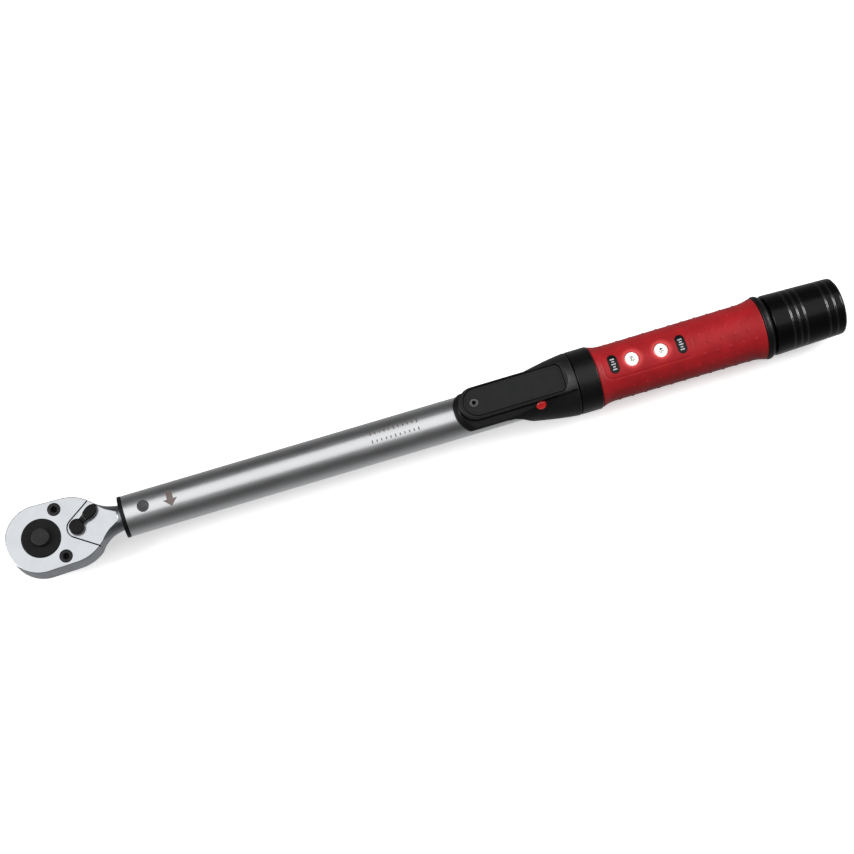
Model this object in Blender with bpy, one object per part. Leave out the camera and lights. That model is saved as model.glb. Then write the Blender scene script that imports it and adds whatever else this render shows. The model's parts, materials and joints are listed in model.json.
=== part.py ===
"""A click-type torque wrench with a lit window scale, as an assembly of separate pieces.

Lengths in this file are millimetres, and become metres when an object is made. X runs from the
square drive towards the adjusting knob and Z points out of the head's cover side. Every mesh is
drawn in the wrench frame, whose origin is where the drive's axis crosses the tube's axis. The
world's origin is the centre of the square drive's end face.
"""

import math

import bmesh
import bpy
from mathutils import Matrix, Vector

MM = 0.001
GAP = 0.3  # between pieces that touch
CLEAR = 9.0  # how far a cutter runs past the surface that it opens
SMOOTH_ANGLE = math.radians(35)

# Sides of a round piece
TUBE_STEPS = 32
INNER_STEPS = 24
PIN_STEPS = 18
HOLE_STEPS = 12

# Whole wrench
AXIS_HEIGHT = 26.5  # tube axis above the end of the square drive
TUBE_R = 12.5
TUBE_BORE_R = 10.4
TUBE_START = 50.7
TUBE_END = 478.0
SLIDING_R = 10.1  # pieces that slide inside the tube
SEAT_R = 12.8  # bore of the pieces that sit on the tube

# Head
HEAD_TOP = 7.5
HEAD_BOTTOM = -10.5
HEAD_BEVEL = 0.8
NOSE_X = -0.8
NOSE_R = 20.7
SIDE_END = (16.0, 20.2)
SHOULDER_R = 24.8
SHOULDER_END = 33.0
WAIST_CONTROL = (37.2, 9.48)
WAIST_END = (44.0, 8.8)
NECK_X = 46.5
NECK_R = 7.8
TAIL_X = 107.6
PIVOT_X = 62.6
PIN_R = 3.5

# Cover plate and its screws
PLATE_BOTTOM = 4.6
PLATE_SEAT = 4.3
VEE_R = 6.2
VEE_HALF_GAP = 0.3
VEE_ARM = math.radians(34.7)
PLATE_SCREW = (11.4, 14.7)
PLATE_SCREW_HEAD_R = 3.8
PLATE_SCREW_R = 1.9

# Square drive and quick release
TEETH = 36
GEAR_TIP_R = 13.4
GEAR_ROOT_R = 12.4
GEAR_BOTTOM = -7.2
GEAR_TOP = 4.0
BOSS_TOP_R = 11.7
BOSS_TOP = 8.2
BOSS_BOTTOM_R = 9.5
BOSS_BOTTOM = -11.5
SQUARE = 12.7
BALL_R = 2.3
BALL_Z = -19.5
BALL_Y = -4.9
STEM_R = 2.5
BUTTON_R = 5.3
BUTTON_TOP = 11.7
BUTTON_BOTTOM = 6.0
BUTTON_WELL = 1.5
RELEASE_SPRING_R = 3.9
RELEASE_WIRE_R = 0.35

# Pawl and reversing lever
POCKET_FLOOR = -7.5
POCKET_R = 13.8
PAWL_IN_R = 13.7
PAWL_OUT_R = 17.1
PAWL_TOOTH = 0.9
PAWL_ANGLE = -6.0
PAWL_HALF_SPAN = 20.0
PAWL_POCKET_R = 17.5
PAWL_POCKET_HALF_SPAN = 31.0
LEVER_X = 22.1
LEVER_ANGLE = math.radians(34.0)
LEVER_SHAFT_R = 4.0
LEVER_HUB_R = 4.8
LEVER_LOW = 7.8
LEVER_HIGH = 11.0
LEVER_OVAL_X = 11.3
LEVER_OVAL = (5.7, 3.5)
SELECTOR_Z = -1.5
SELECTOR_BALL_R = 1.5
CLIP_Z = (2.2, 2.8)
CLIP_GROOVE_Z = (2.0, 3.0)
CLIP_GROOVE = 0.8

# Click mechanism
BLOCK_PIVOT_X = 112.9
BLOCK_R = 4.0
PLUNGER = (113.3, 133.0)
SPRING_MEAN_R = 7.9
SPRING_WIRE_R = 1.9
SPIGOT_R = 5.5
SEAT_FACE = 245.9

# Load screw, scale drum and nut
SCREW_START = 258.6
THREAD_R = 6.0
THREAD_END = 350.0
SCREW_R = 5.2
HEX_START = 414.0
HEX_END = 484.0
HEX_R = 4.62
NUT = (290.0, 306.0)
NUT_SCREW_R = 1.9
BEARING = (255.8, 258.3)
BEARING_R = 9.0
BEARING_BORE_R = 3.5
DRUM = (361.0, 412.0)
DRUM_R = 9.6
DRUM_SCREW_X = 408.0

# Housing, battery and light switch
HOUSING = (255.0, 331.0)
PLATFORM_START = 258.2
PLATFORM_Z = 23.0
PLATFORM_HALF = 9.9
PLATFORM_LIP = 0.7  # how far the platform's top stands out over its wall
PLATFORM_LIP_Z = 20.4
SHOULDERS_END = 321.0
SHOULDER_Z = (5.5, 15.0)
SHOULDER_GROW = (2.4, -0.5)  # how far the shoulders stand out past the platform at those heights
CROWN = ((320.5, 25.4), (323.0, 24.3), (325.7, 23.0), (328.5, 21.3), (331.0, 19.6))
SADDLE_R = 13.9
SADDLE_EDGE_Z = 6.1
SADDLE_CORNER = 8.5
SADDLE_NOSE_R = 14.2  # plan radius of the saddle's rounded front, more than SADDLE_R
SADDLE_NOSE_FLAT = 0.1  # the round front is cut short by this, to leave a small flat
SLOPE = ((286.5, SADDLE_EDGE_Z), (295.5, SADDLE_EDGE_Z), (301.5, -3), (307.0, -13.0), (316.0, -24))
COVER = (261.0, 322.8)
COVER_HALF = 8.6
COVER_BOTTOM = 21.4
COVER_SCREW_X = 267.3
RECESS_Z = 20.8
BAY = (272.3, 320.5)
BAY_HALF = 6.4
BAY_FLOOR = 14.2
CELL_R = 5.8
CELL_HEIGHT = 5.4
CELLS = (279.0, 291.5, 304.0)
BOARD = (310.6, 320.0)
BOARD_HALF = 5.8
BOARD_Z = (15.2, 16.4)
SWITCH_X = 307.0
SWITCH_TILT = math.radians(39.5)
SWITCH_BUTTON_R = 2.9
SWITCH_FLANGE_R = 3.4
SWITCH_FLANGE = (15.0, 15.6)
SWITCH_BUTTON_TOP = 17.6
LEAD = (318.0, 372.6)
LEAD_HALF = 1.5
LEAD_Z = (12.75, 13.0)

# Grip
COLLAR = (331.5, 344.5)
COLLAR_R = 19.6
GRIP = (344.8, 450.8)
CORE_R = 15.0
GRIP_BORE_R = 15.3
WAIST_R = 17.4
WINDOWS = (367.4, 386.0)
WINDOW_R = 4.7
LENS_R = 4.3
LENS = (15.3, 16.6)
LABELS = (355.6, 398.7)
LABEL_HALF = (2.8, 5.85)
LABEL_RADII = (16.6, 17.35)
BUMPER = (451.1, 456.2)
BUMPER_R = 20.0

# Knob
KNOB = (457.2, 503.0)
KNOB_R = 19.0
KNOB_END_R = 17.75
KNOB_WALL = 480.0
LOCK_RING = (456.8, 463.0)
LOCK_SLEEVE = (464.0, 476.0)
SHAFT = (440.0, 489.0)
SHAFT_R = 7.5
CAP = (498.5, 503.0)
CAP_R = 13.8

# Looks: colour, metallic, roughness
CHROME = ((0.80, 0.81, 0.84), 1.0, 0.12)
SATIN = ((0.62, 0.63, 0.66), 1.0, 0.32)
STEEL = ((0.45, 0.45, 0.47), 1.0, 0.35)
BLACK_STEEL = ((0.03, 0.03, 0.033), 0.7, 0.4)
BRASS = ((0.75, 0.56, 0.25), 1.0, 0.3)
MATTE_BLACK = ((0.02, 0.022, 0.025), 0.0, 0.5)
GLOSS_BLACK = ((0.01, 0.01, 0.012), 0.0, 0.15)
RUBBER_BLACK = ((0.015, 0.015, 0.016), 0.0, 0.7)
RED = ((0.55, 0.02, 0.025), 0.0, 0.5)
WHITE = ((0.92, 0.92, 0.90), 0.0, 0.3)
BOARD_GREEN = ((0.02, 0.18, 0.07), 0.0, 0.45)


# ---------------------------------------------------------------- modelling tools


def clear_scene():
    for obj in list(bpy.data.objects):
        bpy.data.objects.remove(obj, do_unlink=True)


def link(name, data):
    obj = bpy.data.objects.new(name, data)
    obj.location = (0, 0, AXIS_HEIGHT * MM)
    bpy.context.scene.collection.objects.link(obj)
    return obj


def make(name, shape, look=None):
    """An object from a bmesh in millimetres, with its own material if it has a look."""
    bmesh.ops.recalc_face_normals(shape, faces=shape.faces)
    bmesh.ops.scale(shape, vec=(MM, MM, MM), verts=shape.verts)
    mesh = bpy.data.meshes.new(name)
    shape.to_mesh(mesh)
    shape.free()
    mesh.shade_smooth()
    mesh.set_sharp_from_angle(angle=SMOOTH_ANGLE)
    obj = link(name, mesh)
    if look:
        paint(obj, look)
    return obj


def paint(obj, look):
    colour, metallic, roughness = look
    material = bpy.data.materials.new(obj.name)
    material.use_nodes = True
    shader = material.node_tree.nodes["Principled BSDF"]
    shader.inputs["Base Color"].default_value = (*colour, 1)
    shader.inputs["Metallic"].default_value = metallic
    shader.inputs["Roughness"].default_value = roughness
    obj.data.materials.append(material)


def combine(obj, shape, operation="DIFFERENCE"):
    """Cuts, joins or trims an object with a shape, which stays in the scene as a wire guide."""
    count = len(obj.modifiers) + 1
    tool = make(f"{obj.name}_tool_{count}", shape)
    tool.location = (0, 0, 0)
    tool.parent = obj
    tool.hide_render = True
    tool.display_type = "WIRE"
    modifier = obj.modifiers.new(operation.title(), "BOOLEAN")
    modifier.operation = operation
    modifier.object = tool
    return tool


def bevel(obj, width, segments=1):
    modifier = obj.modifiers.new("Bevel", "BEVEL")
    modifier.width = width * MM
    modifier.segments = segments
    modifier.limit_method = "ANGLE"
    modifier.angle_limit = math.radians(50)


def arc(centre, radius, start, end, steps):
    """Points on a circle, from one angle to another in degrees, both ends included."""
    points = []
    for i in range(steps + 1):
        angle = math.radians(start + (end - start) * i / steps)
        points.append((centre[0] + radius * math.cos(angle), centre[1] + radius * math.sin(angle)))
    return points


def bend(start, control, end, steps):
    """Points on a quadratic curve, without its first point."""
    points = []
    for i in range(1, steps + 1):
        t = i / steps
        weights = ((1 - t) ** 2, 2 * t * (1 - t), t**2)
        points.append(tuple(sum(w * p[k] for w, p in zip(weights, (start, control, end))) for k in (0, 1)))
    return points


def turned(profile, steps, axis="X", centre=(0.0, 0.0)):
    """A closed profile of (along, radius) turned about a line along X or Z."""
    shape = bmesh.new()
    along_x = axis == "X"
    verts = []
    for along, radius in profile:
        place = (along, centre[0], centre[1] + radius) if along_x else (centre[0] + radius, centre[1], along)
        verts.append(shape.verts.new(place))
    edges = []
    for i, vert in enumerate(verts):
        j = (i + 1) % len(verts)
        if profile[i][1] > 0 or profile[j][1] > 0:
            edges.append(shape.edges.new((vert, verts[j])))
    direction = (1, 0, 0) if along_x else (0, 0, 1)
    middle = (0, *centre) if along_x else (*centre, 0)
    circle = {"cent": middle, "axis": direction, "angle": 2 * math.pi}
    bmesh.ops.spin(shape, geom=verts + edges, steps=steps, use_merge=True, **circle)
    bmesh.ops.remove_doubles(shape, verts=shape.verts, dist=1e-4)
    return shape


def rod(start, end, radius, steps, axis="X", centre=(0.0, 0.0), chamfer=0.0):
    """A plain cylinder with chamfered ends."""
    profile = [(start, 0), (start, radius - chamfer)]
    if chamfer:
        profile += [(start + chamfer, radius), (end - chamfer, radius)]
    profile += [(end, radius - chamfer), (end, 0)]
    return turned(profile, steps, axis, centre)


def ring(start, end, inner, outer, steps, axis="X", centre=(0.0, 0.0)):
    profile = [(start, inner), (start, outer), (end, outer), (end, inner)]
    return turned(profile, steps, axis, centre)


def raised(outline, low, high):
    """A flat outline of (x, y) raised along Z."""
    shape = bmesh.new()
    face = shape.faces.new([shape.verts.new((x, y, low)) for x, y in outline])
    extruded = bmesh.ops.extrude_face_region(shape, geom=[face])["geom"]
    verts = [item for item in extruded if isinstance(item, bmesh.types.BMVert)]
    bmesh.ops.translate(shape, vec=(0, 0, high - low), verts=verts)
    return shape


def tapered(low_outline, low, high_outline, high):
    """A solid between two flat outlines that have the same number of points."""
    shape = bmesh.new()
    foot = [shape.verts.new((x, y, low)) for x, y in low_outline]
    top = [shape.verts.new((x, y, high)) for x, y in high_outline]
    shape.faces.new(foot)
    shape.faces.new(top)
    for i in range(len(foot)):
        shape.faces.new((foot[i - 1], foot[i], top[i], top[i - 1]))
    return shape


def block(low, high):
    """A box between two corners."""
    size = [b - a for a, b in zip(low, high)]
    middle = [(a + b) / 2 for a, b in zip(low, high)]
    shape = bmesh.new()
    bmesh.ops.create_cube(shape, size=1, matrix=Matrix.Translation(middle) @ Matrix.Diagonal((*size, 1)))
    return shape


def sphere(centre, radius):
    shape = bmesh.new()
    bmesh.ops.create_icosphere(shape, subdivisions=2, radius=radius, matrix=Matrix.Translation(centre))
    return shape


def moved(shape, matrix):
    bmesh.ops.transform(shape, matrix=matrix, verts=shape.verts)
    return shape


def coil(name, start, end, radius, wire, turns, look, steps=14):
    """A spring round the X axis from start to end, as a curve with a round section."""
    curve = bpy.data.curves.new(name, "CURVE")
    curve.dimensions = "3D"
    curve.bevel_depth = wire * MM
    curve.bevel_resolution = 0
    curve.use_fill_caps = True
    spline = curve.splines.new("POLY")
    count = turns * steps
    spline.points.add(count)
    for i, point in enumerate(spline.points):
        angle = 2 * math.pi * i / steps
        along = start + (end - start) * i / count
        spot = Vector((along, radius * math.cos(angle), radius * math.sin(angle))) * MM
        point.co = (*spot, 1)
    obj = link(name, curve)
    paint(obj, look)
    return obj


def joint_axis(name, x=0.0, y=0.0, z=0.0, pieces=()):
    """An empty on a joint's axis, which carries the pieces that the joint moves."""
    empty = bpy.data.objects.new(name, None)
    empty.location = (x * MM, y * MM, (AXIS_HEIGHT + z) * MM)
    empty.empty_display_size = 5 * MM
    bpy.context.scene.collection.objects.link(empty)
    for piece in pieces:
        piece.parent = empty
        piece.matrix_parent_inverse = Matrix.Translation(empty.location).inverted()
    return empty


# ---------------------------------------------------------------- head


def head_outline():
    """Plan of the head: round nose, near-parallel sides, shoulders and a hollow run to the neck."""
    shoulder = (SIDE_END[0], SIDE_END[1] - SHOULDER_R)
    last = math.degrees(math.acos((SHOULDER_END - SIDE_END[0]) / SHOULDER_R))
    upper = arc((NOSE_X, 0), NOSE_R, 180, 90, 12)
    upper += arc(shoulder, SHOULDER_R, 90, last, 5)
    upper += bend(upper[-1], WAIST_CONTROL, WAIST_END, 4)
    upper.append((NECK_X, WAIST_END[1]))
    return upper + [(x, -y) for x, y in reversed(upper[1:])]


def left_of_vee(gap):
    """Plan of everything on the nose side of the V-shaped joint line, moved away from it by gap."""
    radius = VEE_R + gap
    arm = 40.0
    tangent = math.pi / 2 + VEE_ARM
    top = (
        LEVER_X + radius * math.cos(tangent) + arm * math.cos(VEE_ARM),
        radius * math.sin(tangent) + arm * math.sin(VEE_ARM),
    )
    low = math.degrees(tangent)
    curve = arc((LEVER_X, 0), radius, low, 360 - low, 12)
    far = 45.0
    return [(-far, far), (top[0], far), top, *curve, (top[0], -top[1]), (top[0], -far), (-far, -far)]


def head_blank(name, low, look):
    obj = make(name, raised(head_outline(), low, HEAD_TOP), look)
    bevel(obj, HEAD_BEVEL)
    return obj


def head_body():
    """Forging with the gear and pawl pockets, a round neck, and the lever that runs inside the tube."""
    obj = head_blank("head_body", HEAD_BOTTOM, CHROME)
    neck = [(-40, 0), (-40, 40), (27, 40), (31, 18.5), (33.5, 14.9), (36, 12.2), (39, 10.1), (42.5, 8.7)]
    neck += [(NECK_X, NECK_R), (NECK_X, 0)]
    combine(obj, turned(neck, INNER_STEPS), "INTERSECT")
    combine(obj, rod(NECK_X - 0.6, TAIL_X, NECK_R - 0.01, INNER_STEPS, chamfer=0.8), "UNION")
    combine(obj, raised(left_of_vee(-VEE_HALF_GAP), PLATE_SEAT, HEAD_TOP + CLEAR))
    combine(obj, rod(POCKET_FLOOR, HEAD_TOP + CLEAR, POCKET_R, TUBE_STEPS, "Z"))
    combine(obj, rod(HEAD_BOTTOM - CLEAR, POCKET_FLOOR + 1, BOSS_BOTTOM_R + GAP, INNER_STEPS, "Z"))
    pocket = arc((0, 0), PAWL_POCKET_R, -PAWL_POCKET_HALF_SPAN, PAWL_POCKET_HALF_SPAN, 10)
    combine(obj, raised([(0, 0), *pocket], POCKET_FLOOR, PLATE_SEAT + 0.1))
    combine(obj, rod(POCKET_FLOOR, HEAD_TOP + CLEAR, LEVER_SHAFT_R + GAP, PIN_STEPS, "Z", (LEVER_X, 0)))
    combine(obj, rod(SELECTOR_Z - 2.2, SELECTOR_Z + 2.2, LEVER_SHAFT_R + 1, PIN_STEPS, "Z", (LEVER_X, 0)))
    for side in (1, -1):
        hole = (PLATE_SCREW[0], side * PLATE_SCREW[1])
        combine(obj, rod(-5.5, HEAD_TOP, PLATE_SCREW_R + GAP, HOLE_STEPS, "Z", hole))
    combine(obj, rod(-TUBE_R, TUBE_R, PIN_R + 0.1, PIN_STEPS, "Z", (PIVOT_X, 0)))
    return obj


def cover_plate():
    obj = head_blank("cover_plate", HEAD_BOTTOM, CHROME)
    combine(obj, raised(left_of_vee(VEE_HALF_GAP), PLATE_BOTTOM, HEAD_TOP + CLEAR), "INTERSECT")
    combine(obj, rod(0, HEAD_TOP + CLEAR, BOSS_TOP_R + 0.2, TUBE_STEPS, "Z"))
    for side in (1, -1):
        hole = (PLATE_SCREW[0], side * PLATE_SCREW[1])
        seat = [(0, 0), (0, 2.2), (5.3, 2.2), (5.3, 4.0), (HEAD_TOP + CLEAR, 4.0), (HEAD_TOP + CLEAR, 0)]
        combine(obj, turned(seat, PIN_STEPS, "Z", hole))
    return obj


def plate_screw(name, side):
    centre = (PLATE_SCREW[0], side * PLATE_SCREW[1])
    head = PLATE_SCREW_HEAD_R
    profile = [(-4, 0), (-4, 1.5), (-3.6, PLATE_SCREW_R), (5.5, PLATE_SCREW_R), (5.5, head)]
    profile += [(7.2, head), (HEAD_TOP, head - 0.4), (HEAD_TOP, 0)]
    obj = make(name, turned(profile, PIN_STEPS, "Z", centre), BLACK_STEEL)
    combine(obj, rod(6.2, HEAD_TOP + 1, 1.7, 6, "Z", centre))
    return obj


def gear_outline():
    points = []
    for tooth in range(TEETH):
        for share, radius in ((0.0, GEAR_ROOT_R), (0.35, GEAR_TIP_R), (0.65, GEAR_TIP_R)):
            angle = 2 * math.pi * (tooth + share) / TEETH
            points.append((radius * math.cos(angle), radius * math.sin(angle)))
    return points


def drive_gear():
    """Ratchet wheel in one piece with its two bosses and the square drive."""
    obj = make("drive_gear", raised(gear_outline(), GEAR_BOTTOM, GEAR_TOP), BLACK_STEEL)
    bosses = [(BOSS_BOTTOM, 0), (BOSS_BOTTOM, BOSS_BOTTOM_R), (-6, BOSS_BOTTOM_R), (-6, BOSS_TOP_R)]
    bosses += [(BOSS_TOP - 0.5, BOSS_TOP_R), (BOSS_TOP, BOSS_TOP_R - 0.5), (BOSS_TOP, 0)]
    combine(obj, turned(bosses, TUBE_STEPS, "Z"), "UNION")
    half = SQUARE / 2
    corner = 1.2
    square = [(half, corner - half), (half, half - corner), (half - corner, half), (corner - half, half)]
    square += [(-x, -y) for x, y in square]
    combine(obj, raised(square, -AXIS_HEIGHT, BOSS_BOTTOM + 1), "UNION")
    bore = STEM_R + 0.1
    well = [(BALL_Z - 4, 0), (BALL_Z - 4, bore), (BUTTON_WELL, bore), (BUTTON_WELL, BUTTON_R + GAP)]
    well += [(BOSS_TOP + CLEAR, BUTTON_R + GAP), (BOSS_TOP + CLEAR, 0)]
    combine(obj, turned(well, PIN_STEPS, "Z"))
    side_hole = moved(rod(0, CLEAR, BALL_R + 0.1, PIN_STEPS), Matrix.Translation((0, 0, BALL_Z)))
    combine(obj, moved(side_hole, Matrix.Rotation(-math.pi / 2, 4, "Z")))
    return obj


def release_button():
    """Button and stem. Pressed, its tapered neck lets the ball drop inwards."""
    taper = 4.0
    neck_r = STEM_R - 0.3 * taper
    profile = [(BALL_Z - 1.4, 0), (BALL_Z - 1.4, STEM_R), (BALL_Z, STEM_R), (BALL_Z + taper, neck_r)]
    profile += [(BALL_Z + 6.5, neck_r), (BALL_Z + 7.2, STEM_R - 0.2), (BUTTON_BOTTOM, STEM_R - 0.2)]
    profile += [(BUTTON_BOTTOM, BUTTON_R), (BUTTON_TOP - 0.8, BUTTON_R), (BUTTON_TOP, BUTTON_R - 0.8)]
    profile.append((BUTTON_TOP, 0))
    return make("release_button", turned(profile, PIN_STEPS, "Z"), BLACK_STEEL)


def release_spring():
    """Spring under the button, drawn along X and stood upright."""
    end = RELEASE_WIRE_R * 2
    low, high = BUTTON_WELL + end, BUTTON_BOTTOM - end
    obj = coil("release_spring", low, high, RELEASE_SPRING_R, RELEASE_WIRE_R, 3, STEEL, 10)
    obj.rotation_euler = (0, -math.pi / 2, 0)
    return obj


def pawl():
    """Curved pawl, which slides round the gear to the side that the lever picks."""
    low = PAWL_ANGLE - PAWL_HALF_SPAN
    high = PAWL_ANGLE + PAWL_HALF_SPAN
    outline = arc((0, 0), PAWL_OUT_R, low, high, 8)
    pitch = 360 / TEETH
    teeth = int((high - low) / pitch)
    for i in range(teeth):
        start = high - i * pitch
        tip, root = PAWL_IN_R, PAWL_IN_R + PAWL_TOOTH
        for share, radius in ((0.05, root), (0.3, root), (0.5, tip), (0.8, tip)):
            outline += arc((0, 0), radius, start - share * pitch, start, 1)[:1]
    return make("pawl", raised(outline, POCKET_FLOOR + GAP, PLATE_SEAT - GAP), STEEL)


def lever_turn():
    return Matrix.Translation((LEVER_X, 0, 0)) @ Matrix.Rotation(LEVER_ANGLE, 4, "Z")


def reversing_lever():
    """Thumb lever with its shaft, bored crosswise for the selector spring and ball."""
    hub = rod(LEVER_LOW, LEVER_HIGH, LEVER_HUB_R, PIN_STEPS, "Z", chamfer=0.6)
    obj = make("reversing_lever", moved(hub, lever_turn()), BLACK_STEEL)
    web = [(0, -2.2), (8, -1.9), (8, 1.9), (0, 2.2)]
    combine(obj, moved(raised(web, LEVER_LOW, LEVER_HIGH - 0.6), lever_turn()), "UNION")
    long_half, short_half = LEVER_OVAL
    oval = [(LEVER_OVAL_X + long_half * x, short_half * y) for x, y in arc((0, 0), 1, 0, 345, 23)]
    tip = make("lever_finger", moved(raised(oval, LEVER_LOW, LEVER_HIGH + 0.2), lever_turn()))
    bevel(tip, 0.9)
    join(obj, tip)
    low, high = CLIP_GROOVE_Z
    groove_r = LEVER_SHAFT_R - CLIP_GROOVE
    shaft = [(POCKET_FLOOR + GAP, 0), (POCKET_FLOOR + GAP, LEVER_SHAFT_R), (low, LEVER_SHAFT_R)]
    shaft += [(low, groove_r), (high, groove_r), (high, LEVER_SHAFT_R)]
    shaft += [(LEVER_LOW + 1, LEVER_SHAFT_R), (LEVER_LOW + 1, 0)]
    combine(obj, moved(turned(shaft, PIN_STEPS, "Z"), lever_turn()), "UNION")
    bore = moved(rod(-CLEAR, -0.6, 1.75, HOLE_STEPS), Matrix.Translation((0, 0, SELECTOR_Z)))
    combine(obj, moved(bore, lever_turn()))
    return obj


def join(obj, other):
    """Unions an object that keeps its own modifiers, and hides it."""
    other.location = (0, 0, 0)
    other.parent = obj
    other.hide_render = True
    other.display_type = "WIRE"
    modifier = obj.modifiers.new("Union", "BOOLEAN")
    modifier.operation = "UNION"
    modifier.object = other


def lever_clip():
    """Open snap ring that holds the lever's shaft in its bore."""
    outline = arc((LEVER_X, 0), LEVER_SHAFT_R + 0.15, 20, 340, 20)
    outline += arc((LEVER_X, 0), LEVER_SHAFT_R - 0.6, 340, 20, 20)
    return make("lever_clip", raised(outline, *CLIP_Z), STEEL)


def selector_ball():
    place = lever_turn() @ Vector((-(LEVER_SHAFT_R + 0.6 - SELECTOR_BALL_R), 0, SELECTOR_Z))
    return make("selector_ball", sphere(place, SELECTOR_BALL_R), STEEL)


def selector_spring():
    obj = coil("selector_spring", -1.35, -0.85, 0.9, 0.22, 1, STEEL, 12)
    turn = lever_turn()
    obj.location = turn.translation * MM + Vector((0, 0, (AXIS_HEIGHT + SELECTOR_Z) * MM))
    obj.rotation_euler = (0, 0, LEVER_ANGLE)
    return obj


def build_head():
    screws = [plate_screw("cover_screw_1", 1), plate_screw("cover_screw_2", -1)]
    head_pieces = [head_body(), cover_plate(), *screws]
    gear_pieces = [drive_gear(), release_spring()]
    ball = make("drive_ball", sphere((0, BALL_Y, BALL_Z), BALL_R), STEEL)
    lever_pieces = [reversing_lever(), lever_clip(), selector_ball(), selector_spring()]
    joint_axis("head_axis", PIVOT_X, pieces=head_pieces)
    joint_axis("drive_axis", pieces=gear_pieces)
    joint_axis("release_axis", pieces=[release_button()])
    joint_axis("ball_axis", 0, BALL_Y, BALL_Z, [ball])
    joint_axis("pawl_axis", pieces=[pawl()])
    joint_axis("lever_axis", LEVER_X, pieces=lever_pieces)


# ---------------------------------------------------------------- tube and click mechanism


def nut_screw_turn(side):
    """Turns a piece drawn along X at the origin so that it lies across the tube at the nut."""
    return Matrix.Translation((sum(NUT) / 2, 0, 0)) @ Matrix.Rotation(side * math.pi / 2, 4, "Z")


def nut_screw_hole():
    reach = TUBE_R + CLEAR
    return moved(rod(-reach, reach, NUT_SCREW_R + GAP, HOLE_STEPS), nut_screw_turn(1))


def tube():
    obj = make("tube", ring(TUBE_START, TUBE_END, TUBE_BORE_R, TUBE_R, TUBE_STEPS), SATIN)
    combine(obj, rod(-TUBE_R - CLEAR, TUBE_R + CLEAR, PIN_R + 0.1, PIN_STEPS, "Z", (PIVOT_X, 0)))
    for x in WINDOWS:
        combine(obj, rod(0, TUBE_R + CLEAR, WINDOW_R - 0.5, PIN_STEPS, "Z", (x, 0)))
    combine(obj, nut_screw_hole())
    return obj


def front_ring():
    """Plastic ring that closes the mouth of the tube round the head's neck."""
    inner = NECK_R + 1.0
    profile = [(48.3, inner), (48.3, 12.3), (48.7, 12.65), (50.4, 12.65), (50.4, SLIDING_R), (56, SLIDING_R)]
    profile.append((56, inner))
    return make("front_ring", turned(profile, TUBE_STEPS), RUBBER_BLACK)


def pivot_pin():
    pin = rod(-TUBE_R + 0.1, TUBE_R - 0.1, PIN_R, PIN_STEPS, "Z", (PIVOT_X, 0), chamfer=0.3)
    return make("pivot_pin", pin, BLACK_STEEL)


def tilt_block():
    """Block that rocks on its round back when the head clicks over."""
    back = arc((BLOCK_PIVOT_X, 0), BLOCK_R, -90, 90, 10)
    front = TAIL_X + GAP
    return make("tilt_block", raised([(front, BLOCK_R), (front, -BLOCK_R), *back], -5, 5), STEEL)


def plunger():
    start, end = PLUNGER
    profile = [(start, 0), (start, SLIDING_R), (end, SLIDING_R), (end, SPIGOT_R), (end + 6, SPIGOT_R - 0.5)]
    profile.append((end + 6, 0))
    obj = make("plunger", turned(profile, INNER_STEPS), STEEL)
    combine(obj, rod(-5.5, 5.5, BLOCK_R + GAP, PIN_STEPS, "Z", (BLOCK_PIVOT_X, 0)))
    return obj


def spring_seat():
    profile = [(SEAT_FACE - 6, 0), (SEAT_FACE - 6, SPIGOT_R - 0.5), (SEAT_FACE, SPIGOT_R)]
    profile += [(SEAT_FACE, SLIDING_R), (255.5, SLIDING_R), (255.5, 0)]
    return make("spring_seat", turned(profile, INNER_STEPS), STEEL)


def load_screw():
    """Screw that sets the spring's load. Its hexagonal tail slides in the knob's shaft."""
    profile = [(SCREW_START, 0), (SCREW_START, 4.5), (262, 4.5), (262.8, THREAD_R), (THREAD_END, THREAD_R)]
    profile += [(THREAD_END, SCREW_R), (HEX_START, SCREW_R), (HEX_START, 0)]
    obj = make("load_screw", turned(profile, PIN_STEPS), STEEL)
    combine(obj, rod(HEX_START - 2, HEX_END, HEX_R, 6), "UNION")
    return obj


def screw_nut():
    obj = make("screw_nut", ring(*NUT, THREAD_R + 0.1, SLIDING_R, INNER_STEPS), BRASS)
    combine(obj, nut_screw_hole())
    return obj


def nut_screw(name, side):
    screw = rod(7.2, TUBE_R - 0.2, NUT_SCREW_R, HOLE_STEPS, chamfer=0.3)
    turn = nut_screw_turn(side)
    obj = make(name, moved(screw, turn), BLACK_STEEL)
    combine(obj, moved(rod(TUBE_R - 1.6, TUBE_R + 1, 1.0, 6), turn))
    return obj


def scale_drum():
    """Cylinder that carries the scale's numbers past the windows."""
    obj = make("scale_drum", ring(*DRUM, SCREW_R + 0.1, DRUM_R, TUBE_STEPS), WHITE)
    combine(obj, rod(0, DRUM_R + CLEAR, 1.3, HOLE_STEPS, "Z", (DRUM_SCREW_X, 0)))
    return obj


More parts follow.
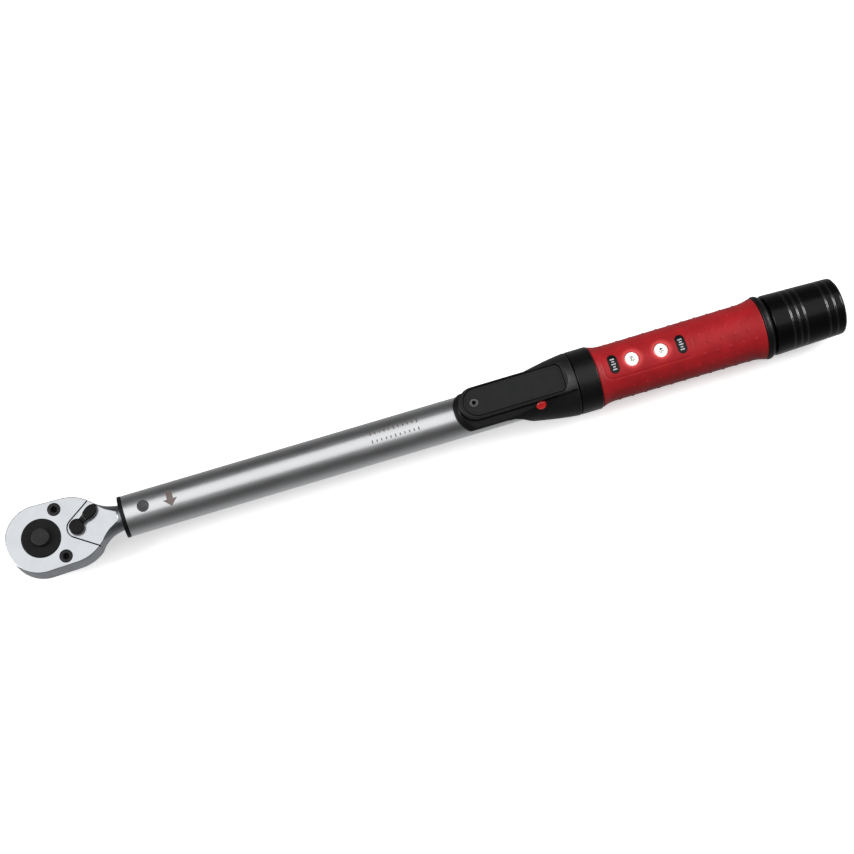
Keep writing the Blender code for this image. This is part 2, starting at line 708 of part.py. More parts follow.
def build_mechanism():
    tube()
    front_ring()
    pivot_pin()
    screw_nut()
    nut_screw("nut_set_screw_1", 1)
    nut_screw("nut_set_screw_2", -1)
    end = SPRING_WIRE_R + GAP
    start = PLUNGER[1] + end
    coil("main_spring", start, SEAT_FACE - end, SPRING_MEAN_R, SPRING_WIRE_R, 12, STEEL, 10)
    joint_axis("block_axis", BLOCK_PIVOT_X, pieces=[tilt_block()])
    joint_axis("plunger_axis", PLUNGER[0], pieces=[plunger()])
    bearing = make("thrust_bearing", ring(*BEARING, BEARING_BORE_R, BEARING_R, INNER_STEPS), BRASS)
    joint_axis("seat_axis", SEAT_FACE, pieces=[spring_seat(), bearing])
    drum_screw = rod(SCREW_R + 0.2, DRUM_R - 0.3, 1.1, HOLE_STEPS, "Z", (DRUM_SCREW_X, 0), chamfer=0.2)
    drum_pieces = [load_screw(), scale_drum(), make("drum_set_screw", drum_screw, BLACK_STEEL)]
    joint_axis("screw_axis", SCREW_START, pieces=drum_pieces)


# ---------------------------------------------------------------- housing, battery and switch


def platform_outline(grow=0.0, end=HOUSING[1]):
    half = PLATFORM_HALF + grow
    front = arc((PLATFORM_START + PLATFORM_HALF, 0), half, 90, 270, 16)
    return [*front, (end, -half), (end, half)]


def shoulders():
    """Sloping sides that run from the platform's wall out to the saddle's edge."""
    foot, top = (platform_outline(grow, SHOULDERS_END) for grow in SHOULDER_GROW)
    return tapered(foot, SHOULDER_Z[0], top, SHOULDER_Z[1])


def cover_outline(grow=0.0):
    """Plan of the battery cover: round at the front, square with cut corners at the back."""
    start, end = COVER
    half = COVER_HALF + grow
    corner = 2.2
    front = arc((start + COVER_HALF, 0), half, 90, 270, 16)
    back = end + grow
    cut = half - corner
    return [*front, (back - corner, -half), (back, -cut), (back, cut), (back - corner, half)]


def bay_outline(grow=0.0):
    start, end = BAY
    half = BAY_HALF + grow
    return [(start - grow, -half), (end + grow, -half), (end + grow, half), (start - grow, half)]


def switch_turn():
    """Turns a piece drawn along X at the origin so that it points out through the light button."""
    outwards = Vector((0, -math.sin(SWITCH_TILT), math.cos(SWITCH_TILT)))
    turn = Vector((1, 0, 0)).rotation_difference(outwards).to_matrix().to_4x4()
    return Matrix.Translation((SWITCH_X, 0, 0)) @ turn


def lead_groove():
    return block((LEAD[0] - 2, -LEAD_HALF - 0.4, 10), (LEAD[1] + 0.3, LEAD_HALF + 0.4, 13.3))


def side_cutter():
    """Side view of what lies below the saddle's edge: a rounded front corner, then the flare's slope."""
    start = HOUSING[0]
    corner = SADDLE_CORNER
    edge = arc((start + corner, SADDLE_EDGE_Z + corner), corner, 180, 270, 8)
    slope = bend(SLOPE[0], SLOPE[1], SLOPE[2], 5) + bend(SLOPE[2], SLOPE[3], SLOPE[4], 5)
    bottom = SLOPE[-1][1]
    outline = [(start - 5, SADDLE_EDGE_Z + corner), *edge, SLOPE[0], *slope, (start - 5, bottom)]
    shape = raised(outline, -30, 30)
    return moved(shape, Matrix.Rotation(math.pi / 2, 4, "X"))


def nose_cutter():
    """What lies outside the round front of the saddle, seen from above."""
    middle = HOUSING[0] + SADDLE_NOSE_R - SADDLE_NOSE_FLAT
    front = arc((middle, 0), SADDLE_NOSE_R, 90, 270, 16)
    outline = [*front, (middle, -30), (HOUSING[0] - 5, -30), (HOUSING[0] - 5, 30), (middle, 30)]
    return raised(outline, -30, 30)


def housing():
    """Saddle on the tube that holds the battery, and flares out to meet the grip."""
    start, end = HOUSING
    profile = [(start, 0), (start, SADDLE_R - 0.6), (start + 0.6, SADDLE_R), (284, SADDLE_R), (294, 14.3)]
    profile += [(303, 15.4), (311, 16.9), (317, 17.95), (323, 18.84), (329.6, 19.6), (end, 19.4), (end, 0)]
    obj = make("housing", turned(profile, TUBE_STEPS), MATTE_BLACK)
    combine(obj, shoulders(), "UNION")
    combine(obj, raised(platform_outline(-PLATFORM_LIP), 5, PLATFORM_LIP_Z + 0.5), "UNION")
    platform = make("housing_platform", raised(platform_outline(), PLATFORM_LIP_Z, PLATFORM_Z))
    bevel(platform, 0.5)
    join(obj, platform)
    crown = [(start - CLEAR, 0), (start - CLEAR, CROWN[0][1]), *CROWN, (end, 0)]
    combine(obj, turned(crown, TUBE_STEPS), "INTERSECT")
    combine(obj, side_cutter())
    combine(obj, nose_cutter())
    combine(obj, rod(start - CLEAR, end + CLEAR, SEAT_R, TUBE_STEPS))
    combine(obj, raised(cover_outline(GAP), RECESS_Z, PLATFORM_Z + CLEAR))
    combine(obj, raised(bay_outline(), BAY_FLOOR, PLATFORM_Z))
    combine(obj, rod(15, PLATFORM_Z, 1.6, HOLE_STEPS, "Z", (COVER_SCREW_X, 0)))
    flange, ledge = SWITCH_FLANGE_R + GAP, SWITCH_FLANGE[1] + GAP
    well = [(SEAT_R + 0.4, 0), (SEAT_R + 0.4, flange), (ledge, flange), (ledge, SWITCH_BUTTON_R + 0.25)]
    well += [(25, SWITCH_BUTTON_R + 0.25), (25, 0)]
    combine(obj, moved(turned(well, PIN_STEPS), switch_turn()))
    combine(obj, lead_groove())
    combine(obj, block((BAY[1] - 4.5, -LEAD_HALF, 13), (BAY[1] - 1.5, LEAD_HALF, BAY_FLOOR + 1)))
    return obj


def battery_cover():
    obj = make("battery_cover", raised(cover_outline(), COVER_BOTTOM, PLATFORM_Z), MATTE_BLACK)
    bevel(obj, 0.4)
    combine(obj, rod(COVER_BOTTOM - 1, PLATFORM_Z + 1, 1.7, PIN_STEPS, "Z", (COVER_SCREW_X, 0)))
    combine(obj, rod(22.0, PLATFORM_Z + 1, 2.9, PIN_STEPS, "Z", (COVER_SCREW_X, 0)))
    return obj


def battery_cover_screw():
    centre = (COVER_SCREW_X, 0)
    profile = [(16, 0), (16, 1.3), (22.2, 1.3), (22.2, 2.6), (22.7, 2.6), (22.9, 2.4), (22.9, 0)]
    obj = make("battery_cover_screw", turned(profile, PIN_STEPS, "Z", centre), STEEL)
    combine(obj, rod(21.5, 24, 1.2, 6, "Z", centre))
    return obj


def cover_seal():
    obj = make("cover_seal", raised(cover_outline(-0.4), RECESS_Z + 0.1, COVER_BOTTOM - 0.2), RUBBER_BLACK)
    combine(obj, raised(bay_outline(0.4), 20, 23))
    combine(obj, rod(20, 23, 2.2, HOLE_STEPS, "Z", (COVER_SCREW_X, 0)))
    return obj


def light_button():
    low, high = SWITCH_FLANGE
    profile = [(low, 0), (low, SWITCH_FLANGE_R), (high, SWITCH_FLANGE_R), (high, SWITCH_BUTTON_R)]
    profile += [(SWITCH_BUTTON_TOP - 0.5, SWITCH_BUTTON_R), (SWITCH_BUTTON_TOP, SWITCH_BUTTON_R - 0.7)]
    profile.append((SWITCH_BUTTON_TOP, 0))
    return make("light_button", moved(turned(profile, PIN_STEPS), switch_turn()), RED)


def build_housing():
    housing()
    for i, x in enumerate(CELLS):
        low = BAY_FLOOR + GAP
        cell = rod(low, low + CELL_HEIGHT, CELL_R, PIN_STEPS, "Z", (x, 0), chamfer=0.3)
        make(f"battery_cell_{i + 1}", cell, SATIN)
    contact_z = BAY_FLOOR + 2 * GAP + CELL_HEIGHT
    contact = block((CELLS[0] - 3, -2, contact_z), (CELLS[-1] + 3, 2, contact_z + 0.3))
    make("battery_contact", contact, BRASS)
    board = block((BOARD[0], -BOARD_HALF, BOARD_Z[0]), (BOARD[1], BOARD_HALF, BOARD_Z[1]))
    make("circuit_board", board, BOARD_GREEN)
    switch = moved(rod(SEAT_R + 0.5, SEAT_R + 1.1, 2.0, PIN_STEPS), switch_turn())
    make("light_switch", switch, STEEL)
    lead = block((LEAD[0], -LEAD_HALF, LEAD_Z[0]), (LEAD[1], LEAD_HALF, LEAD_Z[1]))
    make("led_lead", lead, BRASS)
    lid = [battery_cover(), battery_cover_screw()]
    joint_axis("battery_cover_axis", COVER_SCREW_X, 0, PLATFORM_Z, lid)
    cover_seal()
    place = switch_turn() @ Vector((SWITCH_BUTTON_TOP, 0, 0))
    joint_axis("light_button_axis", *place, [light_button()])


# ---------------------------------------------------------------- grip


def oval(centre, grow=0.0):
    """Plan of a label, longer across the grip than along it, with round ends."""
    half_x, half_y = LABEL_HALF
    radius = half_x + grow
    reach = half_y - half_x
    return arc((centre, reach), radius, 0, 180, 10) + arc((centre, -reach), radius, 180, 360, 10)


def grip_profile():
    start, end = GRIP
    outer = [(start, 19.2), (346.6, 18.5), (349, 17.8), (352, WAIST_R), (356, WAIST_R - 0.1)]
    outer += [(404, 17.55), (441, 17.75), (445.5, 18.1), (448.5, 18.8), (end, 19.5)]
    return [(start, GRIP_BORE_R), *outer, (end, GRIP_BORE_R)]


def grip_sleeve():
    """Soft sleeve over the core, with two windows and two label pockets."""
    obj = make("grip_sleeve", turned(grip_profile(), TUBE_STEPS), RED)
    for x in WINDOWS:
        combine(obj, rod(10, 25, WINDOW_R, PIN_STEPS, "Z", (x, 0)))
    for x in LABELS:
        pocket = combine(obj, raised(oval(x, 0.2), 10, 25))
        combine(pocket, rod(x - 10, x + 10, LABEL_RADII[0] - GAP, TUBE_STEPS))
    return obj


def grip_core():
    obj = make("grip_core", ring(*GRIP, SEAT_R, CORE_R, TUBE_STEPS), MATTE_BLACK)
    for x in WINDOWS:
        combine(obj, rod(10, 25, LENS_R - 0.4, PIN_STEPS, "Z", (x, 0)))
    combine(obj, lead_groove())
    middle = sum(WINDOWS) / 2
    combine(obj, block((middle - 5.6, -3.3, 10), (middle + 5.6, 3.3, 14.3)))
    return obj


def unit_label(name, x):
    obj = make(name, raised(oval(x), 10, 25), GLOSS_BLACK)
    combine(obj, ring(x - 10, x + 10, *LABEL_RADII, TUBE_STEPS), "INTERSECT")
    return obj


def light_unit():
    middle = sum(WINDOWS) / 2
    make("led_board", block((middle - 3.6, -3, 13.0), (middle + 3.6, 3, 13.5)), BOARD_GREEN)
    for i, side in enumerate((-1, 1)):
        near, far = sorted((middle + side * 4.0, middle + side * 5.2))
        make(f"led_{i + 1}", block((near, -1.2, 13.0), (far, 1.2, 14.0)), WHITE)


def front_collar():
    start, end = COLLAR
    profile = [(start, SEAT_R), (start, COLLAR_R - 0.5), (start + 0.5, COLLAR_R), (end - 0.6, COLLAR_R)]
    profile += [(end, COLLAR_R - 0.5), (end, SEAT_R)]
    obj = make("front_collar", turned(profile, TUBE_STEPS), MATTE_BLACK)
    combine(obj, lead_groove())
    return obj


def bumper_ring():
    start, end = BUMPER
    profile = [(start, SEAT_R), (start, BUMPER_R - 0.6), (start + 1.2, BUMPER_R)]
    profile += [(start + 2.8, BUMPER_R - 0.1), (end - 0.8, BUMPER_R - 1.0)]
    profile += [(end, BUMPER_R - 2.2), (end, SEAT_R)]
    return make("bumper_ring", turned(profile, TUBE_STEPS), RUBBER_BLACK)


def build_grip():
    front_collar()
    grip_core()
    grip_sleeve()
    for i, x in enumerate(WINDOWS):
        make(f"window_lens_{i + 1}", rod(*LENS, LENS_R, PIN_STEPS, "Z", (x, 0), chamfer=0.2), WHITE)
    for i, x in enumerate(LABELS):
        unit_label(f"unit_label_{i + 1}", x)
    light_unit()
    bumper_ring()


# ---------------------------------------------------------------- knob


def knob_profile():
    """Outer wall with its grooves, then the stepped inside from the end back to the mouth."""
    start, end = KNOB
    outer = [(start, KNOB_R - 1.2), (start + 1.2, KNOB_R), (466, 18.74), (485, 18.24)]
    outer += [(end - 2.5, KNOB_END_R), (end - 0.8, KNOB_END_R - 0.7), (end, KNOB_END_R - 2.0)]
    inner = [(end, CAP_R + GAP), (CAP[0] - GAP, CAP_R + GAP), (CAP[0] - GAP, 5.0)]
    inner += [(493.2, 5.0), (493.2, 2.8), (SHAFT[1] + GAP, 2.8)]
    inner += [(SHAFT[1] + GAP, SHAFT_R + GAP), (KNOB_WALL, SHAFT_R + GAP)]
    inner += [(KNOB_WALL, 15.3), (LOCK_RING[1] + 0.5, 15.3), (start, 16.6)]
    return outer + inner


def lock_ring():
    """Cone on the tube that the knob's mouth closes on when it is pushed home."""
    start, end = LOCK_RING
    profile = [(start, SEAT_R), (start, 16.2), (end, 14.8), (end, SEAT_R)]
    return make("lock_ring", turned(profile, TUBE_STEPS), MATTE_BLACK)


def knob_shaft():
    """Steel shaft fixed in the knob. The load screw's hexagonal tail slides in its bore."""
    obj = make("knob_shaft", rod(*SHAFT, SHAFT_R, PIN_STEPS, chamfer=0.5), STEEL)
    combine(obj, rod(SHAFT[0] - 1, HEX_END + 0.8, HEX_R + GAP, 6))
    combine(obj, rod(HEX_END, SHAFT[1] + 1, 2.6, HOLE_STEPS))
    return obj


def knob_screw():
    profile = [(485.6, 0), (485.6, 2.3), (493.4, 2.3), (493.4, 4.4), (497.6, 4.4), (497.6, 0)]
    obj = make("knob_screw", turned(profile, PIN_STEPS), BLACK_STEEL)
    combine(obj, rod(495.5, 499, 2.2, 6))
    return obj


def knob_end_cap():
    start, end = CAP
    profile = [(start, 0), (start, CAP_R), (end - 1.0, CAP_R), (end - 0.4, CAP_R - 1.5), (end, CAP_R - 5)]
    profile.append((end, 0))
    return make("knob_end_cap", turned(profile, TUBE_STEPS), MATTE_BLACK)


def build_knob():
    lock_ring()
    make("end_bushing", ring(466, 477.5, SHAFT_R + GAP, SLIDING_R, INNER_STEPS), BRASS)
    sleeve = make("lock_sleeve", ring(*LOCK_SLEEVE, SEAT_R, 15.0, TUBE_STEPS), STEEL)
    joint_axis("lock_axis", LOCK_SLEEVE[0], pieces=[sleeve])
    body = make("knob", turned(knob_profile(), TUBE_STEPS), GLOSS_BLACK)
    joint_axis("knob_axis", KNOB[0], pieces=[body, knob_shaft(), knob_screw(), knob_end_cap()])


def main():
    clear_scene()
    build_head()
    build_mechanism()
    build_housing()
    build_grip()
    build_knob()


main()
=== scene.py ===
"""Looks of the torque wrench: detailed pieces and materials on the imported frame.

Shapes are drawn in millimetres in the wrench frame, whose origin is where the drive's axis crosses
the tube's axis, and become metres in the row frame when a piece is finished.
"""

import json
import math

import bmesh
import bpy
import numpy as np
from mathutils import Matrix, Vector


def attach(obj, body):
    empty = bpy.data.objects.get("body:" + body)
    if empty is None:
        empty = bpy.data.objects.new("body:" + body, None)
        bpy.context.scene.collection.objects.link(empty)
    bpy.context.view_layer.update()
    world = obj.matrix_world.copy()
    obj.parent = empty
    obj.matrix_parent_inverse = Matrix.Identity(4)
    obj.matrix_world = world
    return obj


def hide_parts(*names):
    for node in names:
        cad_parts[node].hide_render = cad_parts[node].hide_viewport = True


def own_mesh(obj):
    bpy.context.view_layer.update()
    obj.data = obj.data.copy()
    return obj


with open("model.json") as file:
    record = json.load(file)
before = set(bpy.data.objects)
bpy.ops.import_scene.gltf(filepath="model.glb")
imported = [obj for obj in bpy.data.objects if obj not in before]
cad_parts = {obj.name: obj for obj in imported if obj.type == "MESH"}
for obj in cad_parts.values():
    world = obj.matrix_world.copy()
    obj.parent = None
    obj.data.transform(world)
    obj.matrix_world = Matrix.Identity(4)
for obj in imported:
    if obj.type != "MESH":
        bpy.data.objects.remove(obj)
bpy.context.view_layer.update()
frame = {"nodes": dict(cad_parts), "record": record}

MM = 0.001
AXIS_HEIGHT = 26.5
GAP = 0.3
CLEAR = 9.0
FAR = 30  # past the sides of the housing
ROUND = 128  # sides of the large round pieces
SMALL_ROUND = 64

# Whole wrench
TUBE_R = 12.5
TUBE_BORE_R = 10.4
TUBE_START = 50.7
TUBE_END = 478.0
SLIDING_R = 10.1
SEAT_R = 12.8
SWITCH_HOLE_X = 298
ARROW_X = 79.0
TICKS = 11
TICKS_X = 203.0
TICK_PITCH = 2.9
TICK_WIDTH = 0.7

# Head
HEAD_TOP = 7.5
HEAD_BOTTOM = -10.5
HEAD_BEVEL = 0.55
OVER_HEAD = HEAD_TOP + CLEAR
NOSE_X = -0.8
NOSE_R = 20.7
SIDE_END = (16.0, 20.2)
SHOULDER_R = 24.8
SHOULDER_END = 33.0
WAIST_CONTROL = (37.2, 9.48)
WAIST_END = (44.0, 8.8)
NECK_X = 46.5
NECK_R = 7.8
TAIL_X = 107.6
PIVOT_X = 62.6
PIN_R = 3.5
PLATE_SEAT = 4.3
POCKETS_END = 34.0
VEE_R = 6.2
VEE_HALF_GAP = 0.4
VEE_ARM = math.radians(34.7)
PLATE_SCREW = (11.4, 14.7)

# Square drive, pawl and lever
TEETH = 36
GEAR_TIP_R = 13.4
GEAR_ROOT_R = 12.4
GEAR = (-7.2, 4.0)
BOSS_TOP_R = 11.7
BOSS_TOP = 8.2
BOSS_BOTTOM_R = 9.5
BOSS_BOTTOM = -11.5
BOSS_STEP = -6
SQUARE = 12.7
SQUARE_CORNER = 1.3
SQUARE_EDGE = 0.7
BALL_R = 2.3
BALL_Z = -19.5
BALL_REACH = 4.9
STEM_R = 2.5
STEM_NECK_R = 1.0
BUTTON_R = 5.3
BUTTON_TOP = 11.7
BUTTON_BOTTOM = 6.0
BUTTON_WELL = 1.5
RELEASE_SPRING_R = 3.9
RELEASE_WIRE_R = 0.35
SPRING_MEAN_R = 7.9
SPRING_WIRE_R = 1.9
PLUNGER_END = 133.0
PLUNGER_TRAVEL = 0.9  # room left for the plunger to move back
SEAT_FACE = 245.9
POCKET_FLOOR = -7.5
POCKET_R = 13.8
PAWL_POCKET_R = 17.5
PAWL_POCKET_HALF_SPAN = 31.0
LEVER_X = 22.1
LEVER_ANGLE = math.radians(34.0)
LEVER_SHAFT_R = 4.0
LEVER_HUB_R = 4.8
LEVER_LOW = 7.8
LEVER_HIGH = 11.0
LEVER_OVAL_X = 11.3
LEVER_OVAL = (5.7, 3.5)
SELECTOR_Z = -1.5

# Housing, cover and light switch
HOUSING = (255.0, 331.0)
PLATFORM_START = 258.2
PLATFORM_Z = 23.0
PLATFORM_HALF = 9.9
PLATFORM_LIP = 0.7
PLATFORM_LIP_Z = 20.4
SHOULDERS_END = 321.0
SHOULDER_Z = (5.5, 15.0)
SHOULDER_GROW = (2.4, -0.5)
CROWN = ((320.5, 25.4), (323.0, 24.3), (325.7, 23.0), (328.5, 21.3), (331.0, 19.6))
SADDLE_R = 13.9
FLARE = [(284, SADDLE_R), (294, 14.3), (303, 15.4), (311, 16.9)]
FLARE += [(317, 17.95), (323, 18.84), (329.6, 19.6)]
SADDLE_EDGE_Z = 6.1
SADDLE_CORNER = 8.5
SADDLE_NOSE_R = 14.2  # plan radius of the saddle's rounded front, more than SADDLE_R
SADDLE_NOSE_FLAT = 0.1  # the round front is cut short by this, to leave a small flat
SLOPE = ((286.5, SADDLE_EDGE_Z), (295.5, SADDLE_EDGE_Z), (301.5, -3), (307.0, -13.0), (316.0, -24))
COVER = (261.0, 322.8)
COVER_HALF = 8.6
COVER_BOTTOM = 21.4
COVER_SCREW_X = 267.3
RECESS_Z = 20.8
BAY = (272.3, 320.5)
BAY_HALF = 6.4
BAY_FLOOR = 14.2
SWITCH_X = 307.0
SWITCH_TILT = math.radians(39.5)
SWITCH_BUTTON_R = 2.9
SWITCH_BUTTON_TOP = 17.6
LEAD = (318.0, 372.6)
LEAD_HALF = 1.5

# Grip and knob
COLLAR = (331.5, 344.5)
COLLAR_R = 19.6
GRIP = (344.8, 450.8)
GRIP_BORE_R = 15.3
WINDOWS = (367.4, 386.0)
WINDOW_R = 4.7
LENS_R = 4.3
LENS = (15.3, 16.6)
GLOW_INSIDE = 0.3
GLOW_REACH = 3.2
GLOW_FALL = 1.6
GLOW_STRENGTH = 0.07
LABELS = (355.6, 398.7)
LABEL_HALF = (2.8, 5.85)
LABEL_RADII = (16.6, 17.35)
PANEL = (349.0, 406.0)
PANEL_HALF = 9.25
BUMPER = (451.1, 456.2)
BUMPER_R = 20.0
KNOB = (457.2, 503.0)
KNOB_WALL = 480.0
KNOB_ROUND = 160
KNOB_R = 19.0
KNOB_END_R = 17.75
KNOB_TAPER = (458.4, 500.5)
KNOB_GROOVES = (468.3, 472.6, 476.8, 491.6, 496.4)
GROOVE_HALF = 0.7
GROOVE_DEPTH = 0.4
LOCK_RING = (456.8, 463.0)
SHAFT_END = 489.0
SHAFT_R = 7.5
CAP = (498.5, 503.0)
CAP_R = 13.8

# Stage, in metres
FLOOR_R = 5.0
SOFTBOX = (3.4, 2.44)
SOFTBOX_LEVEL = 0.70
SIDE_LIGHT = ((1.0, 1.6), 48)  # size and power
BACKDROP = ((0.0, 0.45), (0.17, 0.33), (0.40, 0.16), (0.55, 0.09))  # height and brightness
BACKDROP += ((0.70, 0.06), (0.80, 0.09), (0.90, 0.2), (1.0, 0.3))
CAMERA_X = 0.23836
CAMERA_REACH = 1.153
CAMERA_LENS = 80.4
CAMERA_ROLL = math.radians(16.55)
CAMERA_LEAN = 0.09
CAMERA_TILT = math.radians(15.0)


# ---------------------------------------------------------------- modelling tools


def linked(name, data):
    """A new object in the scene that holds the data."""
    obj = bpy.data.objects.new(name, data)
    bpy.context.scene.collection.objects.link(obj)
    return obj


def temporary(shape):
    """An object in millimetres, to be worked on with modifiers."""
    bmesh.ops.recalc_face_normals(shape, faces=shape.faces)
    mesh = bpy.data.meshes.new("shape")
    shape.to_mesh(mesh)
    shape.free()
    return linked("shape", mesh)


def settle(obj):
    """Applies the object's modifiers."""
    graph = bpy.context.evaluated_depsgraph_get()
    mesh = bpy.data.meshes.new_from_object(obj.evaluated_get(graph))
    obj.modifiers.clear()
    old = obj.data
    obj.data = mesh
    bpy.data.meshes.remove(old)
    return obj


def combine(obj, tool, operation="DIFFERENCE"):
    """Cuts, joins or trims an object with a shape or another temporary object."""
    other = tool if isinstance(tool, bpy.types.Object) else temporary(tool)
    modifier = obj.modifiers.new("Boolean", "BOOLEAN")
    modifier.operation = operation
    modifier.object = other
    settle(obj)
    mesh = other.data
    bpy.data.objects.remove(other)
    bpy.data.meshes.remove(mesh)
    return obj


def soften(obj, width, segments=3, angle=50.0):
    modifier = obj.modifiers.new("Bevel", "BEVEL")
    modifier.width = width
    modifier.segments = segments
    modifier.limit_method = "ANGLE"
    modifier.angle_limit = math.radians(angle)
    return settle(obj)


def remesh(obj, voxel, rounds, factor=0.5):
    """Turns the object into an even mesh and rounds its edges, as a mould or a casting does."""
    modifier = obj.modifiers.new("Remesh", "REMESH")
    modifier.mode = "VOXEL"
    modifier.voxel_size = voxel
    settle(obj)
    modifier = obj.modifiers.new("Smooth", "SMOOTH")
    modifier.factor = factor
    modifier.iterations = rounds
    return settle(obj)


def arc(centre, radius, start, end, steps):
    points = []
    for i in range(steps + 1):
        angle = math.radians(start + (end - start) * i / steps)
        points.append((centre[0] + radius * math.cos(angle), centre[1] + radius * math.sin(angle)))
    return points


def bend(start, control, end, steps):
    points = []
    for i in range(1, steps + 1):
        t = i / steps
        weights = ((1 - t) ** 2, 2 * t * (1 - t), t**2)
        points.append(tuple(sum(w * p[k] for w, p in zip(weights, (start, control, end))) for k in (0, 1)))
    return points


def rounded(points, radius, steps=4):
    """A closed outline with its corners rounded, except those on the turning axis."""
    result = []
    count = len(points)
    for i, point in enumerate(points):
        here = Vector(point)
        before = Vector(points[i - 1]) - here
        after = Vector(points[(i + 1) % count]) - here
        if point[1] == 0 or not before.length or not after.length:
            result.append(point)
            continue
        reach = min(radius, 0.45 * before.length, 0.45 * after.length)
        start = here + before.normalized() * reach
        result.append(tuple(start))
        result += bend(tuple(start), point, tuple(here + after.normalized() * reach), steps)
    return result


def turned(profile, steps, axis="X", centre=(0.0, 0.0)):
    """A closed profile of (along, radius) turned about a line along X or Z."""
    shape = bmesh.new()
    along_x = axis == "X"
    verts = []
    for along, radius in profile:
        place = (along, centre[0], centre[1] + radius) if along_x else (centre[0] + radius, centre[1], along)
        verts.append(shape.verts.new(place))
    edges = []
    for i, vert in enumerate(verts):
        j = (i + 1) % len(verts)
        if profile[i][1] > 0 or profile[j][1] > 0:
            edges.append(shape.edges.new((vert, verts[j])))
    direction = (1, 0, 0) if along_x else (0, 0, 1)
    middle = (0, *centre) if along_x else (*centre, 0)
    line = verts + edges
    angle = 2 * math.pi
    bmesh.ops.spin(shape, geom=line, cent=middle, axis=direction, angle=angle, steps=steps, use_merge=True)
    bmesh.ops.remove_doubles(shape, verts=shape.verts, dist=1e-4)
    return shape


def rod(start, end, radius, steps=SMALL_ROUND, axis="X", centre=(0.0, 0.0), edge=0.0):
    profile = [(start, 0), (start, radius), (end, radius), (end, 0)]
    if edge:
        profile = rounded(profile, edge)
    return turned(profile, steps, axis, centre)


def post(start, end, radius, centre=(0.0, 0.0), steps=SMALL_ROUND):
    """An upright rod."""
    return rod(start, end, radius, steps, "Z", centre)


def ring(start, end, inner, outer):
    return turned([(start, inner), (start, outer), (end, outer), (end, inner)], ROUND)


def raised(outline, low, high):
    shape = bmesh.new()
    face = shape.faces.new([shape.verts.new((x, y, low)) for x, y in outline])
    extruded = bmesh.ops.extrude_face_region(shape, geom=[face])["geom"]
    verts = [item for item in extruded if isinstance(item, bmesh.types.BMVert)]
    bmesh.ops.translate(shape, vec=(0, 0, high - low), verts=verts)
    return shape


def slab(outline, low, high, edge, segments=3):
    """A raised outline with its edges rounded."""
    return soften(temporary(raised(outline, low, high)), edge, segments)


def tapered(low_outline, low, high_outline, high):
    """A solid between two flat outlines that have the same number of points."""
    shape = bmesh.new()
    foot = [shape.verts.new((x, y, low)) for x, y in low_outline]
    top = [shape.verts.new((x, y, high)) for x, y in high_outline]
    shape.faces.new(foot)
    shape.faces.new(top)
    for i in range(len(foot)):
        shape.faces.new((foot[i - 1], foot[i], top[i], top[i - 1]))
    return shape


def block(low, high):
    size = [b - a for a, b in zip(low, high)]
    middle = [(a + b) / 2 for a, b in zip(low, high)]
    shape = bmesh.new()
    bmesh.ops.create_cube(shape, size=1, matrix=Matrix.Translation(middle) @ Matrix.Diagonal((*size, 1)))
    return shape


def moved(shape, matrix):
    bmesh.ops.transform(shape, matrix=matrix, verts=shape.verts)
    return shape


def wrapped(outline, radius, depth=0.05, proud=0.03, step=0.5):
    """A thin mark, drawn flat as (along, round), bent on to a cylinder about X with its zero at the top."""
    shape = raised(outline, -depth, proud)
    low = min(y for _, y in outline)
    high = max(y for _, y in outline)
    for i in range(1, max(2, int((high - low) / step))):
        geometry = list(shape.verts) + list(shape.edges) + list(shape.faces)
        bmesh.ops.bisect_plane(shape, geom=geometry, plane_co=(0, low + i * step, 0), plane_no=(0, 1, 0))
    for vert in shape.verts:
        angle = vert.co.y / radius
        reach = radius + vert.co.z
        vert.co = (vert.co.x, reach * math.sin(angle), reach * math.cos(angle))
    return shape


def joined(shapes):
    """Several closed shapes as one mesh."""
    whole = bmesh.new()
    for shape in shapes:
        mesh = bpy.data.meshes.new("part")
        shape.to_mesh(mesh)
        shape.free()
        whole.from_mesh(mesh)
        bpy.data.meshes.remove(mesh)
    return whole


def piece(name, made, body, looks, nodes=(), sharp=40.0, weigh=True):
    """Finishes a piece: metres in the row frame, smooth shading, materials and the body that it rides on."""
    obj = made if isinstance(made, bpy.types.Object) else temporary(made)
    obj.name = name
    obj.data.name = name
    obj.data.transform(Matrix.Translation((0, 0, AXIS_HEIGHT * MM)) @ Matrix.Scale(MM, 4))
    obj.data.materials.clear()
    for look in looks if isinstance(looks, (list, tuple)) else [looks]:
        obj.data.materials.append(look)
    obj.data.shade_smooth()
    obj.data.set_sharp_from_angle(angle=math.radians(sharp))
    if weigh:
        modifier = obj.modifiers.new("Weighted", "WEIGHTED_NORMAL")
        modifier.keep_sharp = True
    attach(obj, body)
    if nodes:
        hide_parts(*nodes)
    return obj


def middle_of(face):
    """The middle of a finished piece's face, back in millimetres in the wrench frame."""
    x, y, z = face.center / MM
    return x, y, z - AXIS_HEIGHT


# ---------------------------------------------------------------- materials


